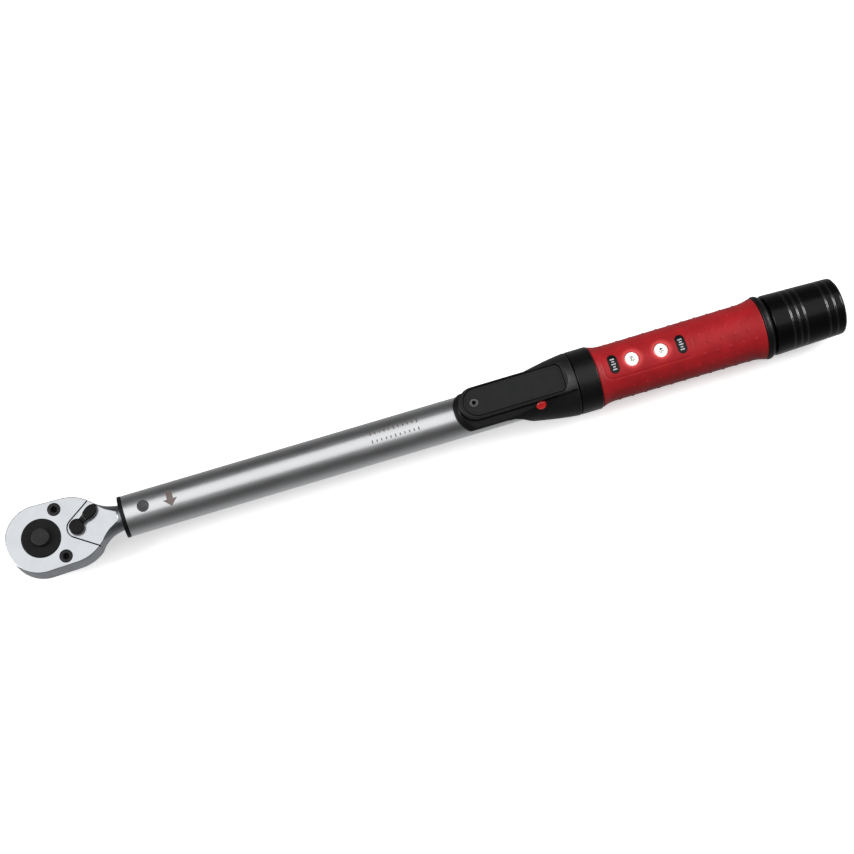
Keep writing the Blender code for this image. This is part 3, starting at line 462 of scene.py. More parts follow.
class Look:
    """A Principled material built up with a few node helpers. Its textures use object coordinates."""

    def __init__(self, name, colour, metallic=0.0, roughness=0.5, specular=0.5):
        self.material = bpy.data.materials.new(name)
        self.material.use_nodes = True
        self.tree = self.material.node_tree
        self.shader = self.tree.nodes["Principled BSDF"]
        self.colour = (*colour, 1)
        self.shader.inputs["Base Color"].default_value = self.colour
        self.shader.inputs["Metallic"].default_value = metallic
        self.shader.inputs["Roughness"].default_value = roughness
        self.shader.inputs["Specular IOR Level"].default_value = specular
        self.roughness = roughness
        self.place = self.node("ShaderNodeTexCoord").outputs["Object"]

    def node(self, kind, **values):
        made = self.tree.nodes.new(kind)
        for key, value in values.items():
            setattr(made, key, value)
        return made

    def join(self, output, target):
        self.tree.links.new(output, target)

    def noise(self, scale, detail=3.0, grain=(1, 1, 1), rough=0.55):
        mapping = self.node("ShaderNodeMapping")
        mapping.inputs["Scale"].default_value = grain
        self.join(self.place, mapping.inputs["Vector"])
        texture = self.node("ShaderNodeTexNoise")
        texture.inputs["Scale"].default_value = scale
        texture.inputs["Detail"].default_value = detail
        texture.inputs["Roughness"].default_value = rough
        self.join(mapping.outputs["Vector"], texture.inputs["Vector"])
        return texture.outputs["Fac"]

    def span(self, value, low, high, to_low, to_high):
        node = self.node("ShaderNodeMapRange")
        node.inputs["From Min"].default_value = low
        node.inputs["From Max"].default_value = high
        node.inputs["To Min"].default_value = to_low
        node.inputs["To Max"].default_value = to_high
        self.join(value, node.inputs["Value"])
        return node.outputs["Result"]

    def maths(self, operation, first, second=None):
        node = self.node("ShaderNodeMath", operation=operation)
        for i, value in enumerate((first, second)):
            if value is None:
                continue
            if isinstance(value, (int, float)):
                node.inputs[i].default_value = value
            else:
                self.join(value, node.inputs[i])
        return node.outputs["Value"]

    def mix(self, factor, first, second):
        node = self.node("ShaderNodeMix", data_type="RGBA")
        self.join(factor, node.inputs["Factor"])
        for name, value in (("A", first), ("B", second)):
            socket = next(s for s in node.inputs if s.name == name and s.type == "RGBA")
            if isinstance(value, tuple):
                socket.default_value = value
            else:
                self.join(value, socket)
        return next(s for s in node.outputs if s.type == "RGBA")

    def vary(self, scale, amount, grain=(1, 1, 1)):
        """Clouds the colour lighter and darker by the amount."""
        dark = tuple(c * (1 - amount) for c in self.colour[:3]) + (1,)
        light = tuple(min(1.0, c * (1 + amount)) for c in self.colour[:3]) + (1,)
        self.colour = self.mix(self.span(self.noise(scale, grain=grain), 0.35, 0.65, 0, 1), dark, light)
        self.join(self.colour, self.shader.inputs["Base Color"])
        return self

    def uneven(self, scale, amount, grain=(1, 1, 1)):
        """Spreads the roughness to either side of its value."""
        low, high = max(0.02, self.roughness - amount), self.roughness + amount
        self.roughness = self.span(self.noise(scale, grain=grain), 0.3, 0.7, low, high)
        self.join(self.roughness, self.shader.inputs["Roughness"])
        return self

    def relief(self, scale, height, strength=0.5, grain=(1, 1, 1), detail=2.0):
        """A fine surface texture of that height in millimetres, added to the ones before it."""
        node = self.node("ShaderNodeBump")
        node.inputs["Strength"].default_value = strength
        node.inputs["Distance"].default_value = height * MM
        self.join(self.noise(scale, detail, grain), node.inputs["Height"])
        before = self.shader.inputs["Normal"].links
        if before:
            self.join(before[0].from_socket, node.inputs["Normal"])
        self.join(node.outputs["Normal"], self.shader.inputs["Normal"])
        return self

    def edge_wear_and_highlight(self, colour, width, share=0.6, scale=900.0):
        """Mixes another colour into the convex and concave edges, broken up by noise: partly edge wear and
        partly a painted edge highlight.
        """
        soft = self.node("ShaderNodeBevel", samples=4)
        soft.inputs["Radius"].default_value = width * MM
        plain = self.node("ShaderNodeNewGeometry")
        product = self.node("ShaderNodeVectorMath", operation="DOT_PRODUCT")
        self.join(soft.outputs["Normal"], product.inputs[0])
        self.join(plain.outputs["Normal"], product.inputs[1])
        edge = self.span(product.outputs["Value"], 0.97, 0.80, 0, 1)
        patchy = self.span(self.noise(scale, 4.0), 0.42, 0.62, 0.15, 1)
        factor = self.maths("MULTIPLY", self.maths("MULTIPLY", edge, patchy), share)
        self.colour = self.mix(factor, self.colour, (*colour, 1))
        self.join(self.colour, self.shader.inputs["Base Color"])
        return self

    def sheen(self, weight, roughness=0.5):
        self.shader.inputs["Sheen Weight"].default_value = weight
        self.shader.inputs["Sheen Roughness"].default_value = roughness
        return self

    def coat(self, weight, roughness):
        self.shader.inputs["Coat Weight"].default_value = weight
        self.shader.inputs["Coat Roughness"].default_value = roughness
        return self

    def shine(self, colour, strength):
        """Gives off a little light."""
        self.shader.inputs["Emission Color"].default_value = (*colour, 1)
        self.shader.inputs["Emission Strength"].default_value = strength
        return self


def chrome_top():
    look = Look("polished_chrome", (0.72, 0.745, 0.775), 1.0, 0.24)
    look.vary(90, 0.03).uneven(160, 0.05).relief(700, 0.004, 0.4).relief(60, 0.01, 0.25)
    return look.edge_wear_and_highlight((0.82, 0.83, 0.85), 0.25, 0.5).material


def shaded_forged_side():
    # Satin chrome for the head's sides, its base made darker than the polished top's: painted shade on the
    # sides.
    look = Look("satin_forging_shaded", (0.36, 0.38, 0.41), 1.0, 0.36)
    look.vary(120, 0.07).uneven(300, 0.06).relief(1600, 0.006, 0.5)
    return look.edge_wear_and_highlight((0.62, 0.63, 0.66), 0.3, 0.6).material


def satin_tube():
    look = Look("satin_tube", (0.80, 0.81, 0.825), 1.0, 0.30)
    look.vary(40, 0.03, (0.3, 1, 1)).uneven(220, 0.04, (0.2, 1, 1))
    look.relief(900, 0.003, 0.5, (0.06, 1, 1)).relief(1800, 0.002, 0.4)
    return look.edge_wear_and_highlight((0.85, 0.85, 0.86), 0.2, 0.5).material


def black_oxide(name="black_oxide", tone=0.008, roughness=0.42, specular=0.13):
    look = Look(name, (tone, tone, tone * 1.05), 0.0, roughness, specular)
    look.vary(260, 0.2).uneven(500, 0.08).relief(1500, 0.008, 0.5)
    return look.edge_wear_and_highlight((0.16, 0.155, 0.15), 0.22, 0.45).material


def plain_steel(name="plain_steel", colour=(0.46, 0.46, 0.47), roughness=0.34):
    look = Look(name, colour, 1.0, roughness)
    look.vary(200, 0.08).uneven(400, 0.08).relief(1300, 0.005, 0.5)
    return look.edge_wear_and_highlight((0.75, 0.75, 0.76), 0.2, 0.5).material


def brass():
    look = Look("brass", (0.72, 0.52, 0.22), 1.0, 0.3)
    look.vary(220, 0.1).uneven(350, 0.08).relief(1200, 0.005, 0.4)
    return look.edge_wear_and_highlight((0.9, 0.75, 0.45), 0.2, 0.5).material


def moulded_black(name, tone, roughness, specular, grain=2600, depth=0.012, tint=1.08, edge_tone=0.045):
    look = Look(name, (tone, tone * 1.03, tone * tint), 0.0, roughness, specular)
    look.vary(180, 0.12).uneven(600, 0.07).relief(grain, depth, 0.6)
    return look.edge_wear_and_highlight((edge_tone, edge_tone, edge_tone * 1.04), 0.3, 0.5).material


def rubber_black():
    look = Look("black_rubber", (0.004, 0.004, 0.0045), 0.0, 0.42, 0.26)
    look.vary(200, 0.2).uneven(500, 0.1).relief(1400, 0.012, 0.5)
    return look.edge_wear_and_highlight((0.05, 0.05, 0.05), 0.3, 0.4).material


def window_distance(look):
    """Distance in millimetres from the nearer window's centre, seen from the window side."""
    parts = look.node("ShaderNodeSeparateXYZ")
    look.join(look.place, parts.inputs[0])
    across = look.maths("POWER", look.maths("ABSOLUTE", parts.outputs["Y"]), 2.0)
    result = None
    for x in WINDOWS:
        offset = look.maths("ABSOLUTE", look.maths("SUBTRACT", parts.outputs["X"], x * MM))
        square = look.maths("ADD", look.maths("POWER", offset, 2.0), across)
        distance = look.maths("SQRT", square)
        result = distance if result is None else look.maths("MINIMUM", result, distance)
    upper = look.maths("GREATER_THAN", parts.outputs["Z"], AXIS_HEIGHT * MM)
    return look.maths("DIVIDE", result, MM), upper


def red_rubber():
    look = Look("red_rubber", (0.37, 0.0105, 0.0145), 0.0, 0.5, 0.25)
    look.vary(110, 0.10).uneven(420, 0.07).relief(2400, 0.014, 0.6).relief(240, 0.02, 0.25)
    look.edge_wear_and_highlight((0.47, 0.03, 0.035), 0.4, 0.5)
    distance, upper = window_distance(look)
    near = look.span(distance, WINDOW_R - GLOW_INSIDE, WINDOW_R + GLOW_REACH, 1, 0)
    glow = look.maths("POWER", look.maths("MULTIPLY", near, upper), GLOW_FALL)
    colour = look.mix(glow, look.colour, (0.72, 0.07, 0.075, 1))
    look.join(colour, look.shader.inputs["Base Color"])
    look.shine((1.0, 0.16, 0.12), 0.0)
    look.join(look.maths("MULTIPLY", glow, GLOW_STRENGTH), look.shader.inputs["Emission Strength"])
    return look.sheen(0.02).material


def red_lens():
    look = Look("red_button", (0.72, 0.012, 0.014), 0.0, 0.16, 0.9)
    look.vary(500, 0.15).uneven(700, 0.06).relief(900, 0.006, 0.4).coat(0.5, 0.1)
    # The button gives off a faint red light of its own, a painted glow: no lamp sits in it.
    return look.shine((1.0, 0.03, 0.03), 0.07).edge_wear_and_highlight((0.9, 0.2, 0.18), 0.3, 0.5).material


def window_white():
    look = Look("window_white", (0.9, 0.9, 0.88), 0.0, 0.3)
    look.uneven(500, 0.08).relief(1200, 0.004, 0.4).vary(300, 0.03)
    return look.shine((1.0, 0.98, 0.95), 0.28).material


def white_plastic():
    look = Look("white_plastic", (0.82, 0.82, 0.79), 0.0, 0.38)
    look.vary(150, 0.05).uneven(400, 0.06).relief(1200, 0.006, 0.4)
    return look.edge_wear_and_highlight((0.6, 0.6, 0.57), 0.2, 0.3).material


def board_green():
    look = Look("board", (0.015, 0.14, 0.055), 0.0, 0.4)
    look.vary(900, 0.35, (1, 3, 1)).uneven(500, 0.08).relief(1500, 0.01, 0.5)
    return look.edge_wear_and_highlight((0.35, 0.30, 0.12), 0.2, 0.5).material


def mark(name, colour, roughness=0.45, metallic=0.0):
    look = Look(name, colour, metallic, roughness, 0.3)
    look.vary(900, 0.12).uneven(900, 0.08).relief(2500, 0.004, 0.4)
    return look.material


CHROME = chrome_top()
FORGED_SHADED = shaded_forged_side()
SATIN = satin_tube()
OXIDE = black_oxide()
OXIDE_BUTTON = black_oxide("black_oxide_button", 0.021, 0.42, 0.2)
OXIDE_SCREW = black_oxide("black_oxide_screw", 0.018, 0.4, 0.2)
OXIDE_GLOSS = black_oxide("black_oxide_lever", 0.0035, 0.17, 0.2)
OXIDE_PIN = black_oxide("black_oxide_pin", 0.055, 0.42, 0.3)
STEEL = plain_steel()
SPRING_STEEL = plain_steel("spring_steel", (0.3, 0.3, 0.31), 0.38)
# Painted shade: a near-black, dull look for the head's pockets, its joint faces and the screws' sockets.
POCKET_SHADE = black_oxide("pocket_shade", 0.003, 0.6, 0.05)
CELL = plain_steel("cell_steel", (0.62, 0.62, 0.63), 0.25)
BRASS = brass()
HOUSING_BLACK = moulded_black("housing_black", 0.0085, 0.46, 0.26)
# Painted shade: a near-black, dull look for the walls round the battery cover and under the platform's lip.
GROOVE_SHADE = moulded_black("groove_shade", 0.0015, 0.7, 0.05, edge_tone=0.003)
COVER_BLACK = moulded_black("cover_black", 0.0095, 0.52, 0.24)
COLLAR_BLACK = moulded_black("collar_black", 0.003, 0.34, 0.36, 1800, 0.006, edge_tone=0.02)
# The knob's light grey edges are partly wear and partly a painted highlight standing in for the glints along
# its grooves.
KNOB_BLACK = moulded_black("knob_black", 0.002, 0.22, 0.24, 900, 0.002, 1.15, edge_tone=0.1)
KNOB_GROOVE = moulded_black("knob_groove", 0.003, 0.24, 0.95, 900, 0.002, 1.15, edge_tone=0.03)
LABEL_BLACK = moulded_black("label_black", 0.006, 0.2, 0.3, 1500, 0.003)
RUBBER = rubber_black()
RED = red_rubber()
BUTTON_RED = red_lens()
WINDOW = window_white()
WHITE = white_plastic()
BOARD = board_green()
ETCHED = mark("etched_mark", (0.20, 0.165, 0.155), 0.6, 0.6)
SILVER_PRINT = mark("silver_print", (0.55, 0.56, 0.60), 0.4)
DARK_PRINT = mark("dark_print", (0.04, 0.04, 0.045), 0.5)

HEAD_LOOKS = [CHROME, FORGED_SHADED, POCKET_SHADE]
SLOT_LOOKS = {
    "polished_chrome": CHROME,
    "satin_chrome": SATIN,
    "dark_steel": OXIDE,
    "plain_steel": STEEL,
    "cell_steel": CELL,
    "brass": BRASS,
    "black_plastic": HOUSING_BLACK,
    "gloss_black": LABEL_BLACK,
    "black_rubber": RUBBER,
    "red_rubber": RED,
    "red_plastic": BUTTON_RED,
    "white_plastic": WHITE,
    "window_white": WINDOW,
    "board": BOARD,
}


def dress_frame():
    """Gives each CAD node that stays in view the procedural material of its slot."""
    for entry in frame["record"]["subparts"]:
        obj = frame["nodes"][entry["node"]]
        obj.data.materials.clear()
        obj.data.materials.append(SLOT_LOOKS[entry["material_slot"]])


# ---------------------------------------------------------------- head


def head_outline():
    shoulder = (SIDE_END[0], SIDE_END[1] - SHOULDER_R)
    last = math.degrees(math.acos((SHOULDER_END - SIDE_END[0]) / SHOULDER_R))
    upper = arc((NOSE_X, 0), NOSE_R, 180, 90, 44)
    upper += arc(shoulder, SHOULDER_R, 90, last, 18)
    upper += bend(upper[-1], WAIST_CONTROL, WAIST_END, 12)
    upper.append((NECK_X, WAIST_END[1]))
    return upper + [(x, -y) for x, y in reversed(upper[1:])]


def left_of_vee(gap):
    radius = VEE_R + gap
    arm = 40.0
    tangent = math.pi / 2 + VEE_ARM
    top = (
        LEVER_X + radius * math.cos(tangent) + arm * math.cos(VEE_ARM),
        radius * math.sin(tangent) + arm * math.sin(VEE_ARM),
    )
    low = math.degrees(tangent)
    curve = arc((LEVER_X, 0), radius, low, 360 - low, 36)
    far = 45.0
    return [(-far, far), (top[0], far), top, *curve, (top[0], -top[1]), (top[0], -far), (-far, -far)]


def head_blank(low):
    return slab(head_outline(), low, HEAD_TOP, HEAD_BEVEL)


def rim_distance(point, outline):
    """Distance from a point in plan to the nearest side of a closed outline."""
    sides = np.roll(outline, -1, axis=0) - outline
    along = ((point - outline) * sides).sum(1) / (sides**2).sum(1)
    nearest = outline + sides * np.clip(along, 0, 1)[:, None]
    return np.linalg.norm(nearest - point, axis=1).min()


def split_head_looks(obj):
    """The flat faces are polished; the outside is satin, with a darker base that paints shade on it; the
    pockets and joint faces take a near-black look that paints the shade in them.
    """
    outline = np.array(head_outline())
    for face in obj.data.polygons:
        x, y, z = middle_of(face)
        flat = face.normal.z > 0.9 and z > HEAD_TOP - 0.3 and x < NECK_X - 1.5
        inner = x < POCKETS_END and HEAD_BOTTOM + 0.5 < z < HEAD_TOP - 0.1
        if inner and rim_distance(np.array((x, y)), outline) > 0.8:
            face.material_index = 2
        else:
            face.material_index = 0 if flat else 1


def neck_curve():
    """Smooth line from the head's flat down to the round neck, which bends towards each corner in turn."""
    neck = [(27, 40), (31, 18.5), (33.5, 14.9), (36, 12.2), (39, 10.1), (42.5, 8.7), (NECK_X, NECK_R)]
    halfway = [tuple((a + b) / 2 for a, b in zip(near, far)) for near, far in zip(neck, neck[1:])]
    joints = [neck[0], *halfway[1:-1], neck[-1]]
    curve = [neck[0]]
    for start, corner, end in zip(joints, neck[1:], joints[1:]):
        curve += bend(start, corner, end, 5)
    return curve


def head_body():
    obj = head_blank(HEAD_BOTTOM)
    combine(obj, turned([(-40, 0), (-40, 40), *neck_curve(), (NECK_X, 0)], ROUND), "INTERSECT")
    combine(obj, rod(NECK_X - 0.6, TAIL_X, NECK_R - 0.01, ROUND, edge=0.8), "UNION")
    combine(obj, raised(left_of_vee(-VEE_HALF_GAP), PLATE_SEAT, OVER_HEAD))
    combine(obj, post(POCKET_FLOOR, OVER_HEAD, POCKET_R, steps=ROUND))
    combine(obj, post(HEAD_BOTTOM - CLEAR, POCKET_FLOOR + 1, BOSS_BOTTOM_R + GAP, steps=ROUND))
    pocket = arc((0, 0), PAWL_POCKET_R, -PAWL_POCKET_HALF_SPAN, PAWL_POCKET_HALF_SPAN, 24)
    combine(obj, raised([(0, 0), *pocket], POCKET_FLOOR, PLATE_SEAT + 0.1))
    combine(obj, post(POCKET_FLOOR, OVER_HEAD, LEVER_SHAFT_R + GAP, (LEVER_X, 0)))
    combine(obj, post(SELECTOR_Z - 2.2, SELECTOR_Z + 2.2, LEVER_SHAFT_R + 1, (LEVER_X, 0)))
    for side in (1, -1):
        combine(obj, post(-5.5, HEAD_TOP, 2.2, (PLATE_SCREW[0], side * PLATE_SCREW[1])))
    combine(obj, post(-TUBE_R, TUBE_R, PIN_R + 0.1, (PIVOT_X, 0)))
    soften(obj, 0.12, 2)
    made = piece("head_forging", obj, "head", HEAD_LOOKS, ["head_body"])
    split_head_looks(made)


def cover_plate():
    obj = head_blank(HEAD_BOTTOM)
    combine(obj, raised(left_of_vee(VEE_HALF_GAP), PLATE_SEAT - 0.01, OVER_HEAD), "INTERSECT")
    combine(obj, post(0, OVER_HEAD, BOSS_TOP_R + 0.2, steps=ROUND))
    for side in (1, -1):
        hole = (PLATE_SCREW[0], side * PLATE_SCREW[1])
        seat = [(0, 0), (0, 2.2), (5.3, 2.2), (5.3, 4.0), (OVER_HEAD, 4.0), (OVER_HEAD, 0)]
        combine(obj, turned(seat, SMALL_ROUND, "Z", hole))
    soften(obj, 0.12, 2)
    made = piece("head_cover_plate", obj, "head", HEAD_LOOKS, ["cover_plate"])
    split_head_looks(made)


# Paints shade into a screw's socket: the socket's faces take the near-black second look.
def darken_socket(obj, centre, radius):
    for face in obj.data.polygons:
        x, y, _ = middle_of(face)
        if math.hypot(x - centre[0], y - centre[1]) < radius:
            face.material_index = 1


def plate_screw(index, side):
    centre = (PLATE_SCREW[0], side * PLATE_SCREW[1])
    profile = [(-4, 0), (-4, 1.5), (-3.6, 1.9), (5.5, 1.9), (5.5, 3.8), (7.3, 3.8), (7.5, 2.9), (7.4, 0)]
    obj = temporary(turned(rounded(profile, 0.35), SMALL_ROUND, "Z", centre))
    combine(obj, post(5.9, HEAD_TOP + 1, 1.75, centre, 6))
    combine(obj, post(7.0, HEAD_TOP + 1, 2.1, centre))
    soften(obj, 0.1, 2)
    looks = [OXIDE_SCREW, POCKET_SHADE]
    made = piece(f"plate_screw_{index}", obj, "head", looks, [f"cover_screw_{index}"])
    darken_socket(made, centre, 1.9)


def gear_outline():
    """Each tooth is a flat at the root and a flat at the tip, given as shares of the tooth's pitch."""
    corners = ((0.0, GEAR_ROOT_R), (0.14, GEAR_ROOT_R), (0.42, GEAR_TIP_R), (0.72, GEAR_TIP_R))
    points = []
    for tooth in range(TEETH):
        for share, radius in corners:
            angle = 2 * math.pi * (tooth + share) / TEETH
            points.append((radius * math.cos(angle), radius * math.sin(angle)))
    return points


def square_outline(half, corner):
    points = []
    for i, (x, y) in enumerate(((1, 1), (-1, 1), (-1, -1), (1, -1))):
        turn = 90 * i
        points += arc((x * (half - corner), y * (half - corner)), corner, turn, turn + 90, 6)
    return points


def drive_gear():
    obj = slab(gear_outline(), *GEAR, 0.25, 1)
    bosses = [(BOSS_BOTTOM, 0), (BOSS_BOTTOM, BOSS_BOTTOM_R), (BOSS_STEP, BOSS_BOTTOM_R)]
    bosses += [(BOSS_STEP, BOSS_TOP_R), (BOSS_TOP, BOSS_TOP_R), (BOSS_TOP, 0)]
    combine(obj, turned(rounded(bosses, 0.5), ROUND, "Z"), "UNION")
    outline = square_outline(SQUARE / 2, SQUARE_CORNER)
    combine(obj, slab(outline, -AXIS_HEIGHT, BOSS_BOTTOM + 1, SQUARE_EDGE), "UNION")
    bore = STEM_R + 0.1
    top = BOSS_TOP + CLEAR
    wide = BUTTON_R + GAP
    well = [(BALL_Z - 4, 0), (BALL_Z - 4, bore), (BUTTON_WELL, bore)]
    well += [(BUTTON_WELL, wide), (top, wide), (top, 0)]
    combine(obj, turned(well, SMALL_ROUND, "Z"))
    hole = moved(rod(0, CLEAR, BALL_R + 0.1), Matrix.Translation((0, 0, BALL_Z)))
    combine(obj, moved(hole, Matrix.Rotation(-math.pi / 2, 4, "Z")))
    soften(obj, 0.14, 2)
    piece("ratchet_drive", obj, "drive_gear", OXIDE, ["drive_gear"])


def release_button():
    """Dished button and its stem, which tapers so that the ball can drop in when it is pressed."""
    foot = BALL_Z - 1.4
    shank_r = STEM_R - 0.2
    profile = [(foot, 0), (foot, STEM_R), (BALL_Z, STEM_R), (BALL_Z + 4, STEM_NECK_R)]
    profile += [(BALL_Z + 6.5, STEM_NECK_R), (BALL_Z + 7.2, shank_r), (BUTTON_BOTTOM, shank_r)]
    profile += [(BUTTON_BOTTOM, BUTTON_R), (BUTTON_TOP, BUTTON_R), (BUTTON_TOP, 3.6), (BUTTON_TOP - 0.25, 0)]
    shape = turned(rounded(profile, 0.7, 5), ROUND, "Z")
    piece("quick_release_button", shape, "release_button", OXIDE_BUTTON, ["release_button"])


def drive_ball():
    shape = bmesh.new()
    place = Matrix.Translation((0, -BALL_REACH, BALL_Z))
    bmesh.ops.create_uvsphere(shape, u_segments=40, v_segments=24, radius=BALL_R, matrix=place)
    piece("retaining_ball", shape, "drive_ball", STEEL, ["drive_ball"], 180.0)


def reversing_lever():
    """Cast thumb lever: a low hub, a narrow waist and an oval finger that rises to its tip."""
    obj = temporary(rod(LEVER_LOW, LEVER_HIGH - 0.25, LEVER_HUB_R, SMALL_ROUND, "Z", edge=0.9))
    web = [(0, -2.6), (4.4, -2.3), (8, -2.5), (8, 2.5), (4.4, 2.3), (0, 2.6)]
    combine(obj, raised(web, LEVER_LOW, LEVER_HIGH - 0.7), "UNION")
    long_half, short_half = LEVER_OVAL
    outline = [(LEVER_OVAL_X + long_half * x, short_half * y) for x, y in arc((0, 0), 1, 0, 354, 59)]
    combine(obj, slab(outline, LEVER_LOW, LEVER_HIGH + 0.2, 1.1, 4), "UNION")
    groove = moved(rod(-8, 8, 3.4, SMALL_ROUND), Matrix.Rotation(math.pi / 2, 4, "Z"))
    combine(obj, moved(groove, Matrix.Translation((5.4, 0, LEVER_HIGH + 2.6))))
    shaft = [(POCKET_FLOOR + GAP, 0), (POCKET_FLOOR + GAP, LEVER_SHAFT_R), (2.0, LEVER_SHAFT_R)]
    shaft += [(2.0, LEVER_SHAFT_R - 0.8), (3.0, LEVER_SHAFT_R - 0.8), (3.0, LEVER_SHAFT_R)]
    shaft += [(LEVER_LOW + 1, LEVER_SHAFT_R), (LEVER_LOW + 1, 0)]
    combine(obj, turned(shaft, SMALL_ROUND, "Z"), "UNION")
    combine(obj, moved(rod(-CLEAR, -0.6, 1.75), Matrix.Translation((0, 0, SELECTOR_Z))))
    remesh(obj, 0.22, 4)
    obj.data.transform(Matrix.Translation((LEVER_X, 0, 0)) @ Matrix.Rotation(LEVER_ANGLE, 4, "Z"))
    body = "reversing_lever"
    piece("thumb_lever", obj, body, OXIDE_GLOSS, [body], 180.0, False)


def coil(start, end, radius, wire, turns):
    """A closed round wire wound round the X axis from start to end."""
    steps, sides = 24, 10
    shape = bmesh.new()
    rings = []
    for i in range(turns * steps + 1):
        angle = 2 * math.pi * i / steps
        along = start + (end - start) * i / (turns * steps)
        ring = []
        for side in range(sides):
            turn = 2 * math.pi * side / sides
            reach = radius + wire * math.cos(turn)
            spot = (along + wire * math.sin(turn), reach * math.cos(angle), reach * math.sin(angle))
            ring.append(shape.verts.new(spot))
        rings.append(ring)
    for near, far in zip(rings, rings[1:]):
        for side in range(sides):
            after = (side + 1) % sides
            shape.faces.new((near[side], near[after], far[after], far[side]))
    shape.faces.new(rings[0])
    shape.faces.new(rings[-1])
    bmesh.ops.recalc_face_normals(shape, faces=shape.faces)
    return shape


def release_spring():
    """Spring under the button, drawn at one length; the real spring shortens as the button goes down."""
    low, high = BUTTON_WELL + 2 * RELEASE_WIRE_R, BUTTON_BOTTOM - 2 * RELEASE_WIRE_R
    shape = coil(low, high, RELEASE_SPRING_R, RELEASE_WIRE_R, 3)
    moved(shape, Matrix.Rotation(-math.pi / 2, 4, "Y"))
    obj = piece("button_spring", shape, "drive_gear", SPRING_STEEL, ["release_spring"])
    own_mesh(obj)


def main_spring():
    """Click spring, drawn at one length; the real spring shortens as the seat is screwed towards the head.
    """
    start = PLUNGER_END + PLUNGER_TRAVEL + SPRING_WIRE_R
    end = SEAT_FACE - GAP - SPRING_WIRE_R
    shape = coil(start, end, SPRING_MEAN_R, SPRING_WIRE_R, 12)
    obj = piece("click_spring", shape, "handle", SPRING_STEEL, ["main_spring"])
    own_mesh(obj)


def build_head():
    release_spring()
    head_body()
    cover_plate()
    plate_screw(1, 1)
    plate_screw(2, -1)
    drive_gear()
    release_button()
    drive_ball()
    reversing_lever()


# ---------------------------------------------------------------- tube


def tube():
    stations = [TUBE_START + (TUBE_END - TUBE_START) * i / 40 for i in range(1, 40)]
    edge = 0.25
    outer = [(TUBE_START, TUBE_R - edge), (TUBE_START + edge, TUBE_R), *[(x, TUBE_R) for x in stations]]
    outer += [(TUBE_END - edge, TUBE_R), (TUBE_END, TUBE_R - edge)]
    profile = [(TUBE_START, TUBE_BORE_R), *outer, (TUBE_END, TUBE_BORE_R)]
    obj = temporary(turned(profile, ROUND))
    combine(obj, post(-TUBE_R - CLEAR, TUBE_R + CLEAR, PIN_R + 0.1, (PIVOT_X, 0)))
    for x in WINDOWS:
        combine(obj, post(0, TUBE_R + CLEAR, WINDOW_R - 0.5, (x, 0)))
    hole = moved(rod(-CLEAR - TUBE_R, CLEAR + TUBE_R, 2.2), Matrix.Rotation(math.pi / 2, 4, "Z"))
    combine(obj, moved(hole, Matrix.Translation((SWITCH_HOLE_X, 0, 0))))
    piece("steel_tube", obj, "handle", SATIN, ["tube"], weigh=False)


def front_ring():
    inner = NECK_R + 1.0
    profile = [(48.3, inner), (48.3, 12.65), (50.4, 12.65), (50.4, SLIDING_R), (56, SLIDING_R), (56, inner)]
    shape = turned(rounded(profile, 0.4), ROUND)
    piece("mouth_ring", shape, "handle", RUBBER, ["front_ring"])


def pivot_pin():
    """Pin whose ends are peened, with a shallow ring round each."""
    end = TUBE_R - 0.1
    half = [(end - 0.3, PIN_R), (end, PIN_R - 0.4), (end, 2.6), (end - 0.25, 2.2), (end - 0.2, 0)]
    profile = [(-x, r) for x, r in reversed(half)] + [(0, PIN_R), *half]
    shape = turned(profile, SMALL_ROUND, "Z", (PIVOT_X, 0))
    piece("pivot_pin_peened", shape, "handle", OXIDE_PIN, ["pivot_pin"])


def box_outline(start, end, low, high):
    return [(start, low), (end, low), (end, high), (start, high)]


def direction_arrow():
    """Etched arrow round the tube, which shows the way that the scale reads."""
    x = ARROW_X
    body = [(x - 1.9, 5.0), (x + 1.9, 5.0), (x + 1.9, -0.6), (x + 4.35, -0.6), (x, -5.0), (x - 4.35, -0.6)]
    body.append((x - 1.9, -0.6))
    piece("tube_arrow", wrapped(body, TUBE_R), "handle", ETCHED, weigh=False)


def tick_rows():
    """Two rows of plain etched ticks near the housing."""
    bars = []
    for row, length in ((2.6, 2.0), (-2.6, 1.5)):
        for i in range(TICKS):
            start = TICKS_X + TICK_PITCH * i
            half = length * (1.35 if i % 5 == 0 else 1.0) / 2
            bars.append(wrapped(box_outline(start, start + TICK_WIDTH, row - half, row + half), TUBE_R))
    piece("tube_ticks", joined(bars), "handle", ETCHED, weigh=False)


def build_tube():
    main_spring()
    tube()
    front_ring()
    pivot_pin()
    direction_arrow()
    tick_rows()


# ---------------------------------------------------------------- housing


def platform_outline(grow=0.0, end=HOUSING[1]):
    half = PLATFORM_HALF + grow
    front = arc((PLATFORM_START + PLATFORM_HALF, 0), half, 90, 270, 40)
    return [*front, (end, -half), (end, half)]


def shoulders():
    foot, top = (platform_outline(grow, SHOULDERS_END) for grow in SHOULDER_GROW)
    return tapered(foot, SHOULDER_Z[0], top, SHOULDER_Z[1])


def cover_outline(grow=0.0):
    start, end = COVER
    half = COVER_HALF + grow
    corner = 2.2
    front = arc((start + COVER_HALF, 0), half, 90, 270, 40)
    back = end + grow
    corners = [(back - corner, -half), (back, corner - half), (back, half - corner), (back - corner, half)]
    return [*front, *corners]


def bay_outline(grow=0.0):
    start, end = BAY
    half = BAY_HALF + grow
    return box_outline(start - grow, end + grow, -half, half)


def switch_turn():
    outwards = Vector((0, -math.sin(SWITCH_TILT), math.cos(SWITCH_TILT)))
    turn = Vector((1, 0, 0)).rotation_difference(outwards).to_matrix().to_4x4()
    return Matrix.Translation((SWITCH_X, 0, 0)) @ turn


